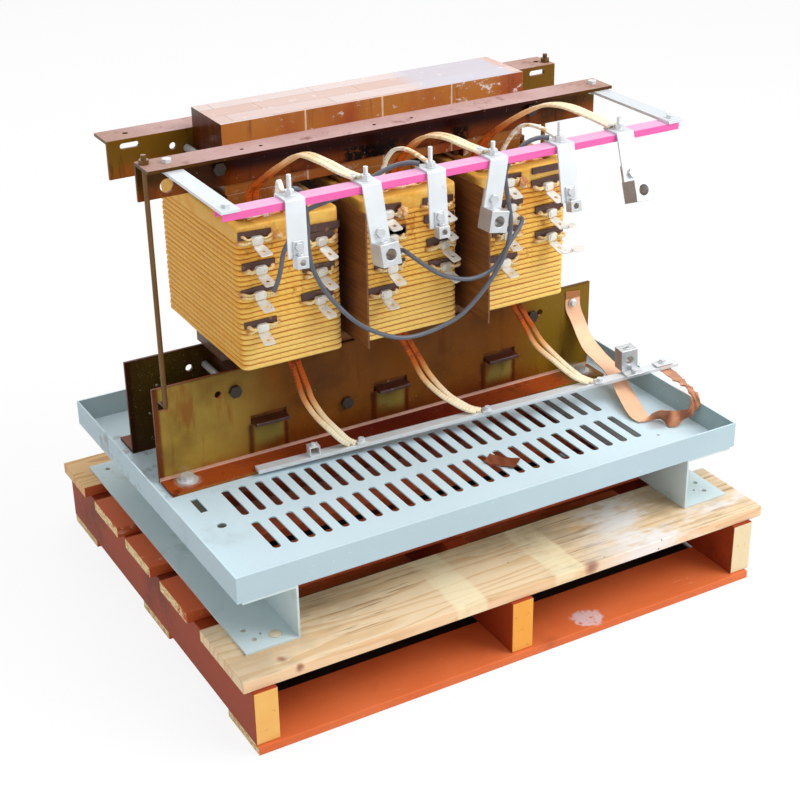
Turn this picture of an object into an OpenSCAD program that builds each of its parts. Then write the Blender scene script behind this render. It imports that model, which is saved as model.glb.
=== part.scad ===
// Open dry-type three-phase transformer on its drip tray and wooden pallet, millimetres.
// Ground is z = 0. The long axis is X and the terminal side faces -Y.

/* [Pallet] */
// length of the deck boards
pallet_width = 933; // [600:1:1400]
// depth over the deck boards
pallet_depth = 739; // [500:1:1200]
// thickness of a deck board
deck_board = 19; // [12:0.5:30]
// thickness of a bottom board
bottom_board = 14; // [8:0.5:25]
// height of a stringer
stringer_height = 89; // [60:1:140]
// thickness of a stringer
stringer_width = 38; // [25:1:60]
// width of the natural front board
front_board = 151; // [80:1:200]
// width of a narrow deck board
narrow_board = 104; // [60:1:150]
// width of a bottom board
bottom_width = 106; // [60:1:150]

/* [Base tray] */
// outside length of the tray
tray_length = 890; // [500:1:1400]
// outside width of the tray
tray_width = 640; // [400:1:1000]
// height of the tray wall
tray_wall = 42.4; // [20:0.2:80]
// tray sheet thickness
tray_sheet = 2.6; // [1:0.1:5]
// height of a foot channel
foot_height = 90; // [50:1:150]
// flange width of a foot channel
foot_flange = 87; // [40:1:140]
// foot sheet thickness
foot_sheet = 3.5; // [2:0.1:8]
// slots in one row of the tray floor
slot_count = 24; // [6:1:40]
// spacing of the slots
slot_pitch = 28.8; // [20:0.1:50]
// width of a slot
slot_width = 10; // [5:0.5:16]
// length of a slot
slot_length = 86; // [40:1:140]

/* [Core] */
// side of a square core leg
leg_size = 110; // [60:1:180]
// spacing of the legs
leg_pitch = 208; // [150:1:300]
// clear height of the core window
window_height = 271; // [150:1:500]
// length of the yokes
yoke_length = 532; // [400:1:800]

/* [Clamps] */
// length of the bottom clamps
bottom_clamp = 824; // [600:1:1200]
// height of the bottom clamp web
bottom_web = 164; // [100:1:260]
// flange of the bottom clamp
bottom_flange = 57; // [30:1:90]
// length of the top clamps
top_clamp = 810; // [600:1:1200]
// height of the top clamp web
top_web = 60; // [40:1:120]
// flange of the top clamp
top_flange = 53; // [30:1:90]
// clamp plate thickness
clamp_plate = 5; // [3:0.5:12]
// thickness of the clamp bolts
clamp_bolt = 12; // [8:1:20]
// thickness of the tie rods
rod_size = 8; // [5:0.5:14]

/* [Coils] */
// outside width of a coil
coil_width = 172; // [120:1:200]
// outside depth of a coil
coil_depth = 296; // [200:1:400]
// turns in the winding
turn_count = 24; // [6:1:40]
// height of one turn
turn_pitch = 8.6; // [5:0.1:15]
// depth of the groove between turns
turn_groove = 1.6; // [0.5:0.1:4]
// height of the plain taped collar
collar_height = 26; // [10:1:60]
// thickness of a phase barrier
barrier = 3; // [1:0.5:8]

/* [Terminals] */
// length of the insulating terminal bar
bar_length = 768; // [500:1:1000]
// depth of the terminal bar
bar_depth = 28; // [15:1:50]
// height of the terminal bar
bar_height = 11; // [8:1:30]
// wall of the terminal bar
bar_wall = 3.2; // [2:0.1:6]
// width of a hanging strap
strap_width = 30; // [15:1:50]
// thickness of a hanging strap
strap_plate = 3; // [2:0.1:6]
// side of a large wire lug
lug_size = 33; // [20:1:50]
// wire hole of a large lug
lug_bore = 17; // [8:1:30]
// thickness of the jumper cables
cable_size = 7; // [4:0.5:16]

/* [Hidden] */
$fn = 20;
fit = 0.5;
core_x = 6;
core_y = 122;
tray_x = 2;
tray_y = 12;
foot_offset = tray_length / 2 - 95;
pallet_front = -365;
pallet_rear = pallet_front + pallet_depth;
stringer_front = pallet_front - 7;
stringer_rear = pallet_rear + 4;
stringer_x = [-pallet_width / 2 + 30.5, -5, pallet_width / 2 - 42.5];
// narrow boards between the front and rear ones, as shares of the way back
board_share = [0.315, 0.543, 0.761];
pallet_top = bottom_board + stringer_height + deck_board;
tray_bottom = pallet_top + foot_height;
floor_top = tray_bottom + tray_sheet;
rim_top = tray_bottom + tray_wall;
core_bottom = floor_top + bottom_web - 95.6;
window_bottom = core_bottom + leg_size;
window_top = window_bottom + window_height;
core_top = window_top + leg_size;
clamp_top_z = core_top - 32;
web_out = leg_size / 2 + clamp_plate;
coil_bottom = window_bottom + 22;
coil_corner = 12;
coil_turn_top = coil_bottom + turn_count * turn_pitch;
coil_top = coil_turn_top + collar_height;
inner_width = leg_size + 26;
inner_depth = 222;
inner_bottom = window_bottom + 15;
inner_top = window_top - 9;
bore_width = inner_width + 4;
bore_depth = 250;
hole_fit = clamp_bolt + 2 * fit;
// through bolts of the frame: x, z
top_bolts = [[-277, clamp_top_z - 31], [277, clamp_top_z - 31]];
low_bolts = [[-275, 343], [-77, core_bottom - 12], [289, 341]];
// yoke support bars through both webs: centre x
support_x = [-218, 8, 224];
support_width = 60;
support_plate = 6;
support_out = 18;
// foot bolts of the lower clamps: x
foot_bolt_x = [-bottom_clamp / 2 + 38, bottom_clamp / 2 - 30];
foot_bolt_y = leg_size / 2 + 26;
// tie rods at two opposite corners of the frame
rod_out = min(top_clamp, bottom_clamp) / 2 - 9;
rod_y = 72;
rod_foot = 352;
foot_grip = clamp_plate + tray_sheet + foot_sheet;
// terminal bar, under the two arms
arm_plate = 4.5;
arm_width = 28;
bar_front = -300;
bar_x = 7;
bar_top = clamp_top_z - clamp_plate - arm_plate;
arm_x = [-top_clamp / 2 + 40, top_clamp / 2 - 21];
// straps over the bar: x, forward tilt, hanging length, 1 = large lug
straps = [[-270, 8, 90, 0], [-149, 9, 80, 1], [-48, 12, 84, 0],
          [53, 0, 72, 1], [175, 14, 88, 0], [288, 23, 74, 1]];
// tap terminals: x, z on the front face of each coil, turn of the tongue
taps_left = [[-263, 622, 6], [-259, 575, 5], [-263, 535, 5], [-261, 482, -3],
             [-158, 599, 17], [-160, 550, 17], [-164, 505, 17]];
taps_middle = [[-43, 619, 3], [-36, 578, 3], [-37, 529, 3], [-49, 489, 0],
               [50, 617, 18], [52, 586, 20], [57, 549, 17], [59, 512, 17]];
taps_right = [[177, 629, 0], [181, 586, 2], [178, 540, 0], [172, 494, 0],
              [252, 609, 12], [260, 562, 12], [261, 521, 12]];
tap_face = -coil_depth / 2;
// loose neutral bar: left end, right end (bottom middle of each)
loose_left = [-268, -114, floor_top + clamp_plate + 0.2];
loose_right = [494, -208, 257];
loose_width = 19;
loose_plate = 6.4;
// winding leads, taped strips: route points
upper_lead_a = [[-242, -93, 655.2], [-241, -101, 682], [-232, -128, 708], [-218, -160, 735],
                [-203, -193, 756], [-188, -228, 753], [-172, -256, 743], [-159, -276.5, 737.8]];
upper_lead_b = [[3, -93, 655.2], [4, -102, 675], [8, -120, 700], [14, -150, 728],
                [21, -180, 743], [31, -215, 746], [42, -248, 741], [51, -276.5, 737.8]];
upper_lead_c = [[152, -93, 655.2], [157, -104, 684], [166, -132, 713], [183, -160, 738],
                [212, -190, 760], [236, -216, 762], [262, -246, 750], [282, -276.5, 737.8]];
lower_lead_a = [[-192, -93, 407.8], [-188, -106, 386], [-183, -118, 354], [-176, -122, 326],
                [-160, -126, 296], [-136, -132, 264], [-121, -136, 246], [-108, -137, 236.4]];
lower_lead_b = [[6, -93, 407.8], [9, -106, 386], [19, -120, 357], [38, -126, 317],
                [64, -134, 282], [90, -148, 260], [104, -158, 251.5], [116, -163, 247.4]];
lower_lead_c = [[222, -93, 407.8], [226, -108, 392], [237, -124, 362], [252, -136, 330],
                [280, -156, 295], [304, -176, 270], [316, -184, 262.5], [326, -189, 257.6]];
lead_width = 9;
lead_plate = 4;
// short leads from the coils to the straps without a large lug
short_leads_at = [[[-262, -118, 650], [-266, -150, 690], [-268, -196, 738], [-270, -218, 752],
                   [-272, -244, 748], [-274, -272, 737.8]],
                  [[-36, -118, 650], [-42, -142, 694], [-46, -176, 728], [-47, -210, 742],
                   [-45, -242, 743], [-42, -272, 737.8]],
                  [[176, -118, 650], [177, -146, 696], [175, -180, 728], [176, -208, 740],
                   [178, -242, 742], [180, -272, 737.8]]];
// copper ground strap: route points
ground_path = [[373, -web_out - 1.2, 366], [373, -web_out - 1.2, 334], [380, -74, 306], [392, -104, 276],
               [396, -144, 244], [386, -206, 220.5], [362, -276, 217], [364, -292, 219],
               [388, -312, 223], [408, -330, 226], [424, -334, 238], [432, -326, 254],
               [438, -300, 264], [448, -262, 268], [457, -224, 268], [464, -204, 263.2]];
ground_turn = [0, 0, 0, 4, 8, 12, 25, 50, 52, 48, 30, 5, -10, -14, -14, -14];
ground_width = 25;
ground_plate = 1.4;
// jumper cables: route points
long_route = [[167, -274, 739.2], [152, -266, 739], [130, -258, 728], [106, -252, 695],
              [110, -250, 655], [120, -246, 610], [118, -242, 570], [105, -240, 538],
              [80, -238, 504], [43, -234, 469], [8, -232, 455], [-33, -230, 448],
              [-70, -230, 452], [-107, -230, 469], [-143, -232, 495], [-175, -235, 530],
              [-202, -240, 568], [-220, -246, 606], [-230, -255, 645], [-233, -263, 684],
              [-238, -264, 716], [-245, -266, 733], [-259, -274, 739.2]];
short_route = [[-57, -274, 739.2], [-70, -265, 740], [-91, -255, 735], [-122, -248, 722],
               [-158, -238, 702], [-188, -224, 690], [-208, -205, 674], [-218, -190, 650],
               [-224, -180, 625], [-233, -178, 606], [-242, -187, 588], [-252, -194, 571],
               [-259, -194, 557]];
tap_route = [[-36, -178, 570.5], [-41, -196, 577], [-40, -210, 576], [-20, -222, 558], [5, -226, 539],
             [31, -228, 527], [58, -228, 520], [84, -228, 522], [103, -226, 528],
             [120, -222, 543], [134, -218, 556], [150, -212, 568], [166, -204, 578],
             [177, -192, 583], [181, -178, 578.5]];

function unit(v) = v / norm(v);
function heading(p, i) = unit(p[min(i + 1, len(p) - 1)] - p[max(i - 1, 0)]);
function loose_at(s) = loose_left + (loose_right - loose_left) * s;

module at_core() translate([core_x, core_y, 0]) children();

module both(a) for (s = [-1, 1]) translate(s * a) children();

module block(x0, x1, y0, y1, z0, z1) translate([x0, y0, z0]) cube([x1 - x0, y1 - y0, z1 - z0]);

// rounded rectangle outline centred on the axis
module round_rect(w, d, r) {
    square([w - 2 * r, d], center = true);
    square([w, d - 2 * r], center = true);
    for (x = [-1, 1], y = [-1, 1])
        translate([x * (w / 2 - r), y * (d / 2 - r)]) circle(r, $fn = 12);
}

// upright hexagon head
module hex(across, height) linear_extrude(height) circle(across / sqrt(3), $fn = 6);

// round tube swept along points
module swept(p, size, sides) {
    n = len(p);
    pts = [for (i = [0 : n - 1]) let (t = heading(p, i), ref = abs(t[2]) > 0.95 ? [0, 1, 0] : [0, 0, 1],
           a = unit(cross(t, ref)), b = cross(a, t))
           for (k = [0 : sides - 1]) p[i] + size / 2 * (a * cos(360 * k / sides) + b * sin(360 * k / sides))];
    polyhedron(pts, concat([[for (k = [0 : sides - 1]) k]],
        [for (i = [0 : n - 2], k = [0 : sides - 1]) [i * sides + k, (i + 1) * sides + k,
         (i + 1) * sides + (k + 1) % sides, i * sides + (k + 1) % sides]],
        [[for (k = [sides - 1 : -1 : 0]) (n - 1) * sides + k]]));
}

// flat strip swept along points, its width along the direction given for each point
module strip(p, across, width, plate) {
    n = len(p);
    pts = [for (i = [0 : n - 1]) let (t = heading(p, i), b = unit(cross(t, across[i])), a = cross(b, t))
           for (c = [[-1, -1], [1, -1], [1, 1], [-1, 1]])
           p[i] + a * c[0] * width / 2 + b * c[1] * plate / 2];
    polyhedron(pts, concat([[0, 1, 2, 3]],
        [for (i = [0 : n - 2], k = [0 : 3]) [i * 4 + k, (i + 1) * 4 + k,
         (i + 1) * 4 + (k + 1) % 4, i * 4 + (k + 1) % 4]],
        [[(n - 1) * 4 + 3, (n - 1) * 4 + 2, (n - 1) * 4 + 1, (n - 1) * 4]]));
}

// Pallet

module pallet_stringers() color("Sienna")
    for (x = stringer_x)
        translate([x - stringer_width / 2, stringer_front, bottom_board])
            cube([stringer_width, stringer_rear - stringer_front, stringer_height]);

module deck(y, width) translate([-pallet_width / 2, y, pallet_top - deck_board])
    cube([pallet_width, width, deck_board]);

module pallet_front_board() color("BurlyWood") deck(pallet_front, front_board);

module pallet_deck_boards() color("Brown") {
    for (share = board_share) deck(pallet_front + share * (pallet_depth - narrow_board), narrow_board);
    deck(pallet_rear - narrow_board, narrow_board);
}

module pallet_bottom_boards() color("Brown")
    for (y = [stringer_front - 6, -48, stringer_rear - bottom_width])
        translate([-pallet_width / 2 + 12, y, 0]) cube([pallet_width - 42, bottom_width, bottom_board]);

// Feet and tray

module foot(bolt_x) difference() {
    // web at x = 0, flanges outward along -X
    translate([0, tray_y, pallet_top]) union() {
        translate([-foot_sheet, -tray_width / 2, 0]) cube([foot_sheet, tray_width, foot_height]);
        for (z = [0, foot_height - foot_sheet])
            translate([-foot_flange, -tray_width / 2, z]) cube([foot_flange, tray_width, foot_sheet]);
    }
    for (h = [[62, 27, 9], [66, 55, 9], [48, 36, 5], [62, tray_width - 25, 9]])
        translate([-h[0], tray_y - tray_width / 2 + h[1], pallet_top - 1])
            cylinder(d = h[2], h = foot_sheet + 2, $fn = 12);
    both([0, foot_bolt_y, 0]) translate([bolt_x, core_y, tray_bottom - foot_sheet - 1])
        cylinder(d = hole_fit, h = foot_sheet + 2);
}

module foot_left() color("LightSteelBlue") translate([tray_x - foot_offset, 0, 0])
    foot(core_x + foot_bolt_x[0] - tray_x + foot_offset);

module foot_right() color("LightSteelBlue") translate([tray_x + foot_offset, 0, 0])
    mirror([1, 0, 0]) foot(-(core_x + foot_bolt_x[1] - tray_x - foot_offset));

module base_tray() color("LightSteelBlue") translate([tray_x, tray_y, tray_bottom]) difference() {
    translate([-tray_length / 2, -tray_width / 2, 0]) cube([tray_length, tray_width, tray_wall]);
    translate([-tray_length / 2 + tray_sheet, -tray_width / 2 + tray_sheet, tray_sheet])
        cube([tray_length - 2 * tray_sheet, tray_width - 2 * tray_sheet, tray_wall]);
    for (i = [0 : slot_count - 1], y = [-175, -65])
        translate([(i - (slot_count - 1) / 2) * slot_pitch, y, -1]) linear_extrude(tray_sheet + 2) {
            square([slot_width, slot_length - slot_width], center = true);
            for (s = [-1, 1])
                translate([0, s * (slot_length - slot_width) / 2]) circle(d = slot_width, $fn = 8);
        }
    translate([-377, -117, -1]) cylinder(d = 15, h = tray_sheet + 2);
    translate([-383, -45, -1]) linear_extrude(tray_sheet + 2) square([12, 44], center = true);
    for (x = foot_bolt_x) both([0, foot_bolt_y, 0])
        translate([core_x - tray_x + x, core_y - tray_y, -1]) cylinder(d = hole_fit, h = tray_sheet + 2);
}

// Core frame

module clamp_bottom(rod_x) difference() {
    union() {
        block(-bottom_clamp / 2, bottom_clamp / 2, -web_out, -leg_size / 2,
              floor_top, floor_top + bottom_web);
        block(-bottom_clamp / 2, bottom_clamp / 2, -leg_size / 2 - bottom_flange, -leg_size / 2,
              floor_top, floor_top + clamp_plate);
    }
    for (b = low_bolts) translate([b[0], -40, b[1]]) rotate([90, 0, 0]) cylinder(d = hole_fit, h = 40);
    for (x = support_x)
        block(x - support_width / 2 - 2, x + support_width / 2 + 2, -80, -40,
              core_bottom - support_plate - 1, core_bottom + 8);
    for (x = [-303, 307]) translate([x, -40, 343]) rotate([90, 0, 0]) cylinder(d = 12, h = 40);
    for (x = foot_bolt_x) translate([x, -foot_bolt_y, floor_top - 1]) cylinder(d = hole_fit, h = 20);
    // hook slot of the tie rod
    block(rod_x - 8, rod_x + 8, -80, -40, 340, 358);
}

module bottom_clamp_front() color("Olive") at_core() clamp_bottom(-rod_out);

module bottom_clamp_rear() color("Olive") at_core() mirror([0, 1, 0]) difference() {
    clamp_bottom(rod_out);
    // spare small holes near the left end: x, height over the floor, size
    for (h = [[-361, 112, 5], [-369, 92, 4], [-377, 65, 4]])
        translate([h[0], -40, floor_top + h[1]]) rotate([90, 0, 0]) cylinder(d = h[2], h = 40);
}

module clamp_top(rod_x) difference() {
    union() {
        block(-top_clamp / 2, top_clamp / 2, -web_out, -leg_size / 2, clamp_top_z - top_web, clamp_top_z);
        block(-top_clamp / 2, top_clamp / 2, -leg_size / 2 - top_flange, -leg_size / 2,
              clamp_top_z - clamp_plate, clamp_top_z);
    }
    for (b = top_bolts) translate([b[0], -40, b[1]]) rotate([90, 0, 0]) cylinder(d = hole_fit, h = 40);
    for (x = [-248, -217, -26, 40]) translate([x, -85, clamp_top_z - 10]) cylinder(d = 6, h = 20);
    translate([rod_x, -rod_y, clamp_top_z - 10]) cylinder(d = rod_size + 2 * fit, h = 20);
    for (x = arm_x) translate([x, -82, clamp_top_z - 10]) cylinder(d = 9, h = 20);
}

module top_clamp_front() color("DarkOliveGreen") at_core() difference() {
    clamp_top(-rod_out);
    translate([46 - top_clamp / 2, -40, clamp_top_z - 43]) rotate([90, 0, 0]) cylinder(d = 22, h = 40);
}

module top_clamp_rear() color("DarkOliveGreen") at_core() mirror([0, 1, 0]) difference() {
    clamp_top(rod_out);
    // a long hole under the bend at each end, a round one beside the left one
    both([top_clamp / 2 - 36, 0, 0]) translate([0, -40, clamp_top_z - clamp_plate - 6]) rotate([90, 0, 0]) {
        both([11, 0, 0]) cylinder(d = 9, h = 40);
        translate([-11, -4.5, 0]) cube([22, 9, 40]);
    }
    translate([-300, -40, clamp_top_z - 24]) rotate([90, 0, 0]) cylinder(d = 11, h = 40);
}

module yoke(z) at_core()
    block(-yoke_length / 2, yoke_length / 2, -leg_size / 2, leg_size / 2, z, z + leg_size);

module core_top_yoke() color("Peru") yoke(window_top);

module core_bottom_yoke() color("Peru") yoke(core_bottom);

module core_legs() color("Peru") at_core() for (i = [-1, 0, 1])
    block(i * leg_pitch - leg_size / 2, i * leg_pitch + leg_size / 2, -leg_size / 2, leg_size / 2,
          window_bottom, window_top);

module yoke_supports() color("SaddleBrown") at_core() for (x = support_x)
    block(x - support_width / 2, x + support_width / 2, -web_out - support_out, web_out + support_out,
          core_bottom - support_plate, core_bottom);

module frame_bolts() color("DimGray") at_core() for (b = concat(top_bolts, low_bolts))
    translate([b[0], 0, b[1]]) rotate([90, 0, 0]) {
        cylinder(d = clamp_bolt, h = 2 * web_out + 16, center = true);
        for (s = [0, 1]) mirror([0, 0, s]) translate([0, 0, web_out]) hex(19, 8);
    }

module foot_bolts() color("Silver") at_core() for (x = foot_bolt_x, s = [-1, 1])
    translate([x, s * foot_bolt_y, floor_top + clamp_plate]) {
        cylinder(d = 34, h = 2.5);
        translate([0, 0, 2.5]) hex(19, 8);
        translate([0, 0, -foot_grip - 12]) cylinder(d = clamp_bolt, h = foot_grip + 13);
        translate([0, 0, -foot_grip - 9]) hex(19, 9);
    }

// Windings

// block beside a leg, on side s, between two distances from its middle
module packer(s, near, far, z0, z1)
    block(min(s * near, s * far), max(s * near, s * far), 7 - leg_size / 2, leg_size / 2 - 7, z0, z1);

module coil_blocks() color("BurlyWood") at_core() for (i = [-1, 0, 1], s = [-1, 1])
    translate([i * leg_pitch, 0, 0]) {
        packer(s, leg_size / 2 + 2, bore_width / 2 + 10, window_bottom, inner_bottom);
        packer(s, bore_width / 2 + 1, bore_width / 2 + 10, inner_bottom, coil_bottom);
        packer(s, leg_size / 2 + 2, inner_width / 2, inner_top, window_top);
        // battens that hold the phase barriers
        if (i != s) block(min(s * coil_width / 2, s * (leg_pitch / 2 - barrier / 2)),
            max(s * coil_width / 2, s * (leg_pitch / 2 - barrier / 2)), -15, 15, 480, 560);
    }

module coil(i) at_core() translate([i * leg_pitch, 0, coil_bottom]) difference() {
    union() {
        for (k = [0 : turn_count - 1]) translate([0, 0, k * turn_pitch]) {
            linear_extrude(turn_pitch - 2) round_rect(coil_width, coil_depth, coil_corner);
            translate([0, 0, turn_pitch - 2]) linear_extrude(2)
                round_rect(coil_width - 2 * turn_groove, coil_depth - 2 * turn_groove,
                           coil_corner - turn_groove);
        }
        translate([0, 0, turn_count * turn_pitch]) linear_extrude(collar_height)
            round_rect(coil_width - 4, coil_depth, coil_corner);
    }
    translate([0, 0, -1]) linear_extrude(turn_count * turn_pitch + collar_height + 2)
        round_rect(bore_width, bore_depth, 12);
}

module coil_left() color("Goldenrod") coil(-1);

module coil_middle() color("Goldenrod") coil(0);

module coil_right() color("Goldenrod") coil(1);

module inner_winding(i) at_core() translate([i * leg_pitch, 0, inner_bottom])
    linear_extrude(inner_top - inner_bottom) difference() {
        round_rect(inner_width, inner_depth, 12);
        square([leg_size + 4, 150], center = true);
    }

module inner_winding_left() color("DarkOrange") inner_winding(-1);

module inner_winding_middle() color("DarkOrange") inner_winding(0);

module inner_winding_right() color("DarkOrange") inner_winding(1);

module phase_barriers() color("SaddleBrown") at_core() for (s = [-1, 1])
    translate([s * leg_pitch / 2, 0, 0])
        block(-barrier / 2, barrier / 2, tap_face - (s < 0 ? 48 : 64), coil_depth / 2 + 52,
              coil_bottom + 12, coil_top - 0.4);

// Terminal side

module tie_rod() {
    // nut on the upper flange, foot bent in through the lower web
    translate([-rod_out, -rod_y, rod_foot]) {
        cylinder(d = rod_size, h = clamp_top_z + 14 - rod_foot);
        translate([0, 0, clamp_top_z - rod_foot]) hex(14, 7);
        rotate([-90, 0, 0]) cylinder(d = rod_size, h = rod_y - leg_size / 2 + 6);
        sphere(d = rod_size, $fn = 12);
    }
}

module tie_rods() color("SaddleBrown") at_core() {
    tie_rod();
    rotate([0, 0, 180]) tie_rod();
}

module terminal_bar() color("HotPink") at_core() difference() {
    block(bar_x - bar_length / 2, bar_x + bar_length / 2, bar_front, bar_front + bar_depth,
          bar_top - bar_height, bar_top);
    block(bar_x - bar_length, bar_x + bar_length, bar_front + bar_wall, bar_front + bar_depth - bar_wall,
          bar_top - bar_height - 1, bar_top - bar_wall);
}

module terminal_arms() color("Gainsboro") at_core() for (x = arm_x) {
    block(x - arm_width / 2, x + arm_width / 2, bar_front - 2, -62, bar_top, bar_top + arm_plate);
    translate([x, -82, bar_top - 6]) cylinder(d = 8, h = arm_plate + clamp_plate + 8);
    translate([x, -82, clamp_top_z]) hex(13, 6);
    translate([x, -82, bar_top - 6]) hex(13, 6);
    translate([x, bar_front + bar_depth / 2, bar_top + arm_plate]) hex(11, 5);
}

// side outline of a strap: over the bar, then down its front at the tilt a for the length l
function strap_side(a, l) = let (t = strap_plate, down = (t - t * sin(a)) / cos(a),
    tip = [-t - l * sin(a), t - l * cos(a)])
    [[bar_depth + 4, 0], [bar_depth + 4, t], [-t, t], tip, tip + t * [cos(a), -sin(a)],
     [-t + t * cos(a) - down * sin(a), 0]];

module strap(s) translate([s[0], bar_front, bar_top]) {
    rotate([90, 0, 90]) linear_extrude(strap_width, center = true) polygon(strap_side(s[1], s[2]));
    // stud, nut and washer
    translate([0, bar_depth / 2, strap_plate]) {
        cylinder(d = 16, h = 2);
        hex(12, 8);
        cylinder(d = 7, h = s[3] > 0 ? 12 : 22);
    }
}

module line_straps() color("Gainsboro") at_core() for (s = straps) strap(s);

module on_strap(s) translate([s[0], bar_front - strap_plate, bar_top + strap_plate]) rotate([-s[1], 0, 0])
    translate([0, 0, -s[2]]) children();

module large_lug() {
    // tongue behind the strap, block below its end and out to the front, wire hole through it
    difference() {
        union() {
            block(-14, 14, strap_plate, strap_plate + 5, -1, 24);
            block(-strap_width / 2, strap_width / 2, strap_plate + 5 - lug_size, strap_plate + 5,
                  -lug_size, -0.2);
        }
        translate([0, lug_size, -lug_size / 2]) rotate([90, 0, 0]) cylinder(d = lug_bore, h = 3 * lug_size);
    }
    translate([0, 0, 12]) rotate([90, 0, 0]) hex(13, 5);
}

module large_lugs() color("Silver") at_core() for (s = straps) if (s[3] > 0) on_strap(s) large_lug();

module small_lug() difference() {
    union() {
        block(-8, 8, -3, 0, 0, 22);
        block(-9, 9, -15, 0, -15, 2);
        translate([0, -3, 14]) rotate([90, 0, 0]) hex(11, 4);
    }
    translate([0, 5, -7]) rotate([90, 0, 0]) cylinder(d = 9, h = 40, $fn = 12);
}

module small_lugs() color("Silver") at_core() for (s = straps) if (s[3] == 0) on_strap(s) small_lug();

module tap_strips() color("SaddleBrown") at_core() for (t = concat(taps_left, taps_middle, taps_right))
    block(t[0] - 29, t[0] + 25, tap_face - 3, tap_face, t[1] + 5, t[1] + 16);

module tap(turn) {
    // saddle on the coil face, tongue leaning down, hole near its end, a tap wire from each side
    block(-10, 10, -9, 0, -4, 4);
    for (side = [-1, 1]) translate([side * 6, -5, 1]) rotate([0, side * 92, side * 5])
        cylinder(d = 5, h = 22);
    rotate([0, 0, turn]) translate([0, -6, -1]) rotate([24, 0, 0]) difference() {
        block(-10, 10, -35, 1, -1, 1);
        translate([0, -27, -3]) cylinder(d = 6, h = 6, $fn = 8);
    }
}

module tap_terminals() color("Silver") at_core() for (t = concat(taps_left, taps_middle, taps_right))
    translate([t[0], tap_face, t[1]]) tap(t[2]);

module lead_pair(p) for (s = [-1, 1])
    strip([for (q = p) q + [s * (lead_width / 2 + 0.3), 0, 0]], [for (q = p) [1, 0, 0]],
          lead_width, lead_plate);

module upper_leads() color("Wheat") at_core() {
    lead_pair(upper_lead_a);
    lead_pair(upper_lead_b);
    lead_pair(upper_lead_c);
}

module lower_leads() color("Wheat") at_core() {
    lead_pair(lower_lead_a);
    lead_pair(lower_lead_b);
    lead_pair(lower_lead_c);
}

module short_leads() color("Wheat") at_core() for (p = short_leads_at)
    strip(p, [for (q = p) [1, 0, 0]], lead_width - 1, lead_plate);

// Neutral bar, ground strap and cables

module on_loose() {
    run = loose_right - loose_left;
    translate(loose_left) rotate([0, 0, atan2(run[1], run[0])])
        rotate([0, -asin(run[2] / norm(run)), 0]) children();
}

module neutral_bar() color("Gainsboro") at_core() on_loose()
    block(0, norm(loose_right - loose_left), -loose_width / 2, loose_width / 2, 0, loose_plate);

module neutral_lug() color("Silver") at_core() on_loose() translate([672, 0, loose_plate]) difference() {
    union() {
        block(-20, 12, -loose_width / 2, loose_width / 2, 0, 4);
        block(-24, 4, -14, 14, 4, 34);
    }
    translate([-10, 20, 20]) rotate([90, 0, 0]) cylinder(d = 14, h = 40);
}

module neutral_fittings() color("Gainsboro") at_core() {
    on_loose() translate([0, 0, loose_plate]) {
        // clip with its screw near the left end
        difference() {
            block(88, 106, -8, 8, 0, 16);
            block(90, 104, -9, 9, 2, 14);
        }
        translate([97, 0, 16]) cylinder(d = 7, h = 4);
        // washer and bolt over the end of the ground strap
        translate([742, 0, 4]) cylinder(d = 14, h = 2);
        translate([742, 0, 6]) hex(11, 7);
    }
    // plate and bolt in front of each lower lead
    for (p = [lower_lead_a, lower_lead_b, lower_lead_c])
        let (tip = p[len(p) - 1], run = tip - p[len(p) - 2])
            translate(tip - [0, 0, 1.1]) rotate([0, 0, atan2(run[1], run[0])]) {
                block(7, 25, -7.5, 7.5, 0, 2);
                translate([16, 0, 2]) hex(10, 6);
            }
}

module ground_strap() color("Salmon") at_core() {
    strip(ground_path, [for (a = ground_turn) [cos(a), sin(a), 0]], ground_width, ground_plate);
    translate([373, -web_out - 2, 350]) rotate([90, 0, 0]) hex(13, 6);
}

module jumper_long() color("SlateGray") at_core() swept(long_route, cable_size, 8);

module jumper_short() color("SlateGray") at_core() swept(short_route, cable_size, 8);

module jumper_tap() color("SlateGray") at_core() swept(tap_route, cable_size, 8);

pallet_stringers();
pallet_front_board();
pallet_deck_boards();
pallet_bottom_boards();
foot_left();
foot_right();
base_tray();
bottom_clamp_front();
bottom_clamp_rear();
top_clamp_front();
top_clamp_rear();
core_top_yoke();
core_bottom_yoke();
core_legs();
yoke_supports();
frame_bolts();
foot_bolts();
coil_blocks();
coil_left();
coil_middle();
coil_right();
inner_winding_left();
inner_winding_middle();
inner_winding_right();
phase_barriers();
tie_rods();
terminal_bar();
terminal_arms();
line_straps();
large_lugs();
small_lugs();
tap_strips();
tap_terminals();
upper_leads();
lower_leads();
short_leads();
neutral_bar();
neutral_lug();
neutral_fittings();
ground_strap();
jumper_long();
jumper_short();
jumper_tap();
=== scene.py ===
"""Looks for an open dry-type three-phase transformer on its drip tray and wooden pallet.

Shapes are worked out in millimetres from the core's centre, and Shape.make moves them into the part's frame.
Ground is at z = 0 and the terminal side faces -Y. Finishes use metres in the part's frame.
"""

import math

import bmesh
import bpy
import numpy as np
from bpy.props import FloatProperty, FloatVectorProperty, IntProperty, PointerProperty
from mathutils import Matrix


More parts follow.
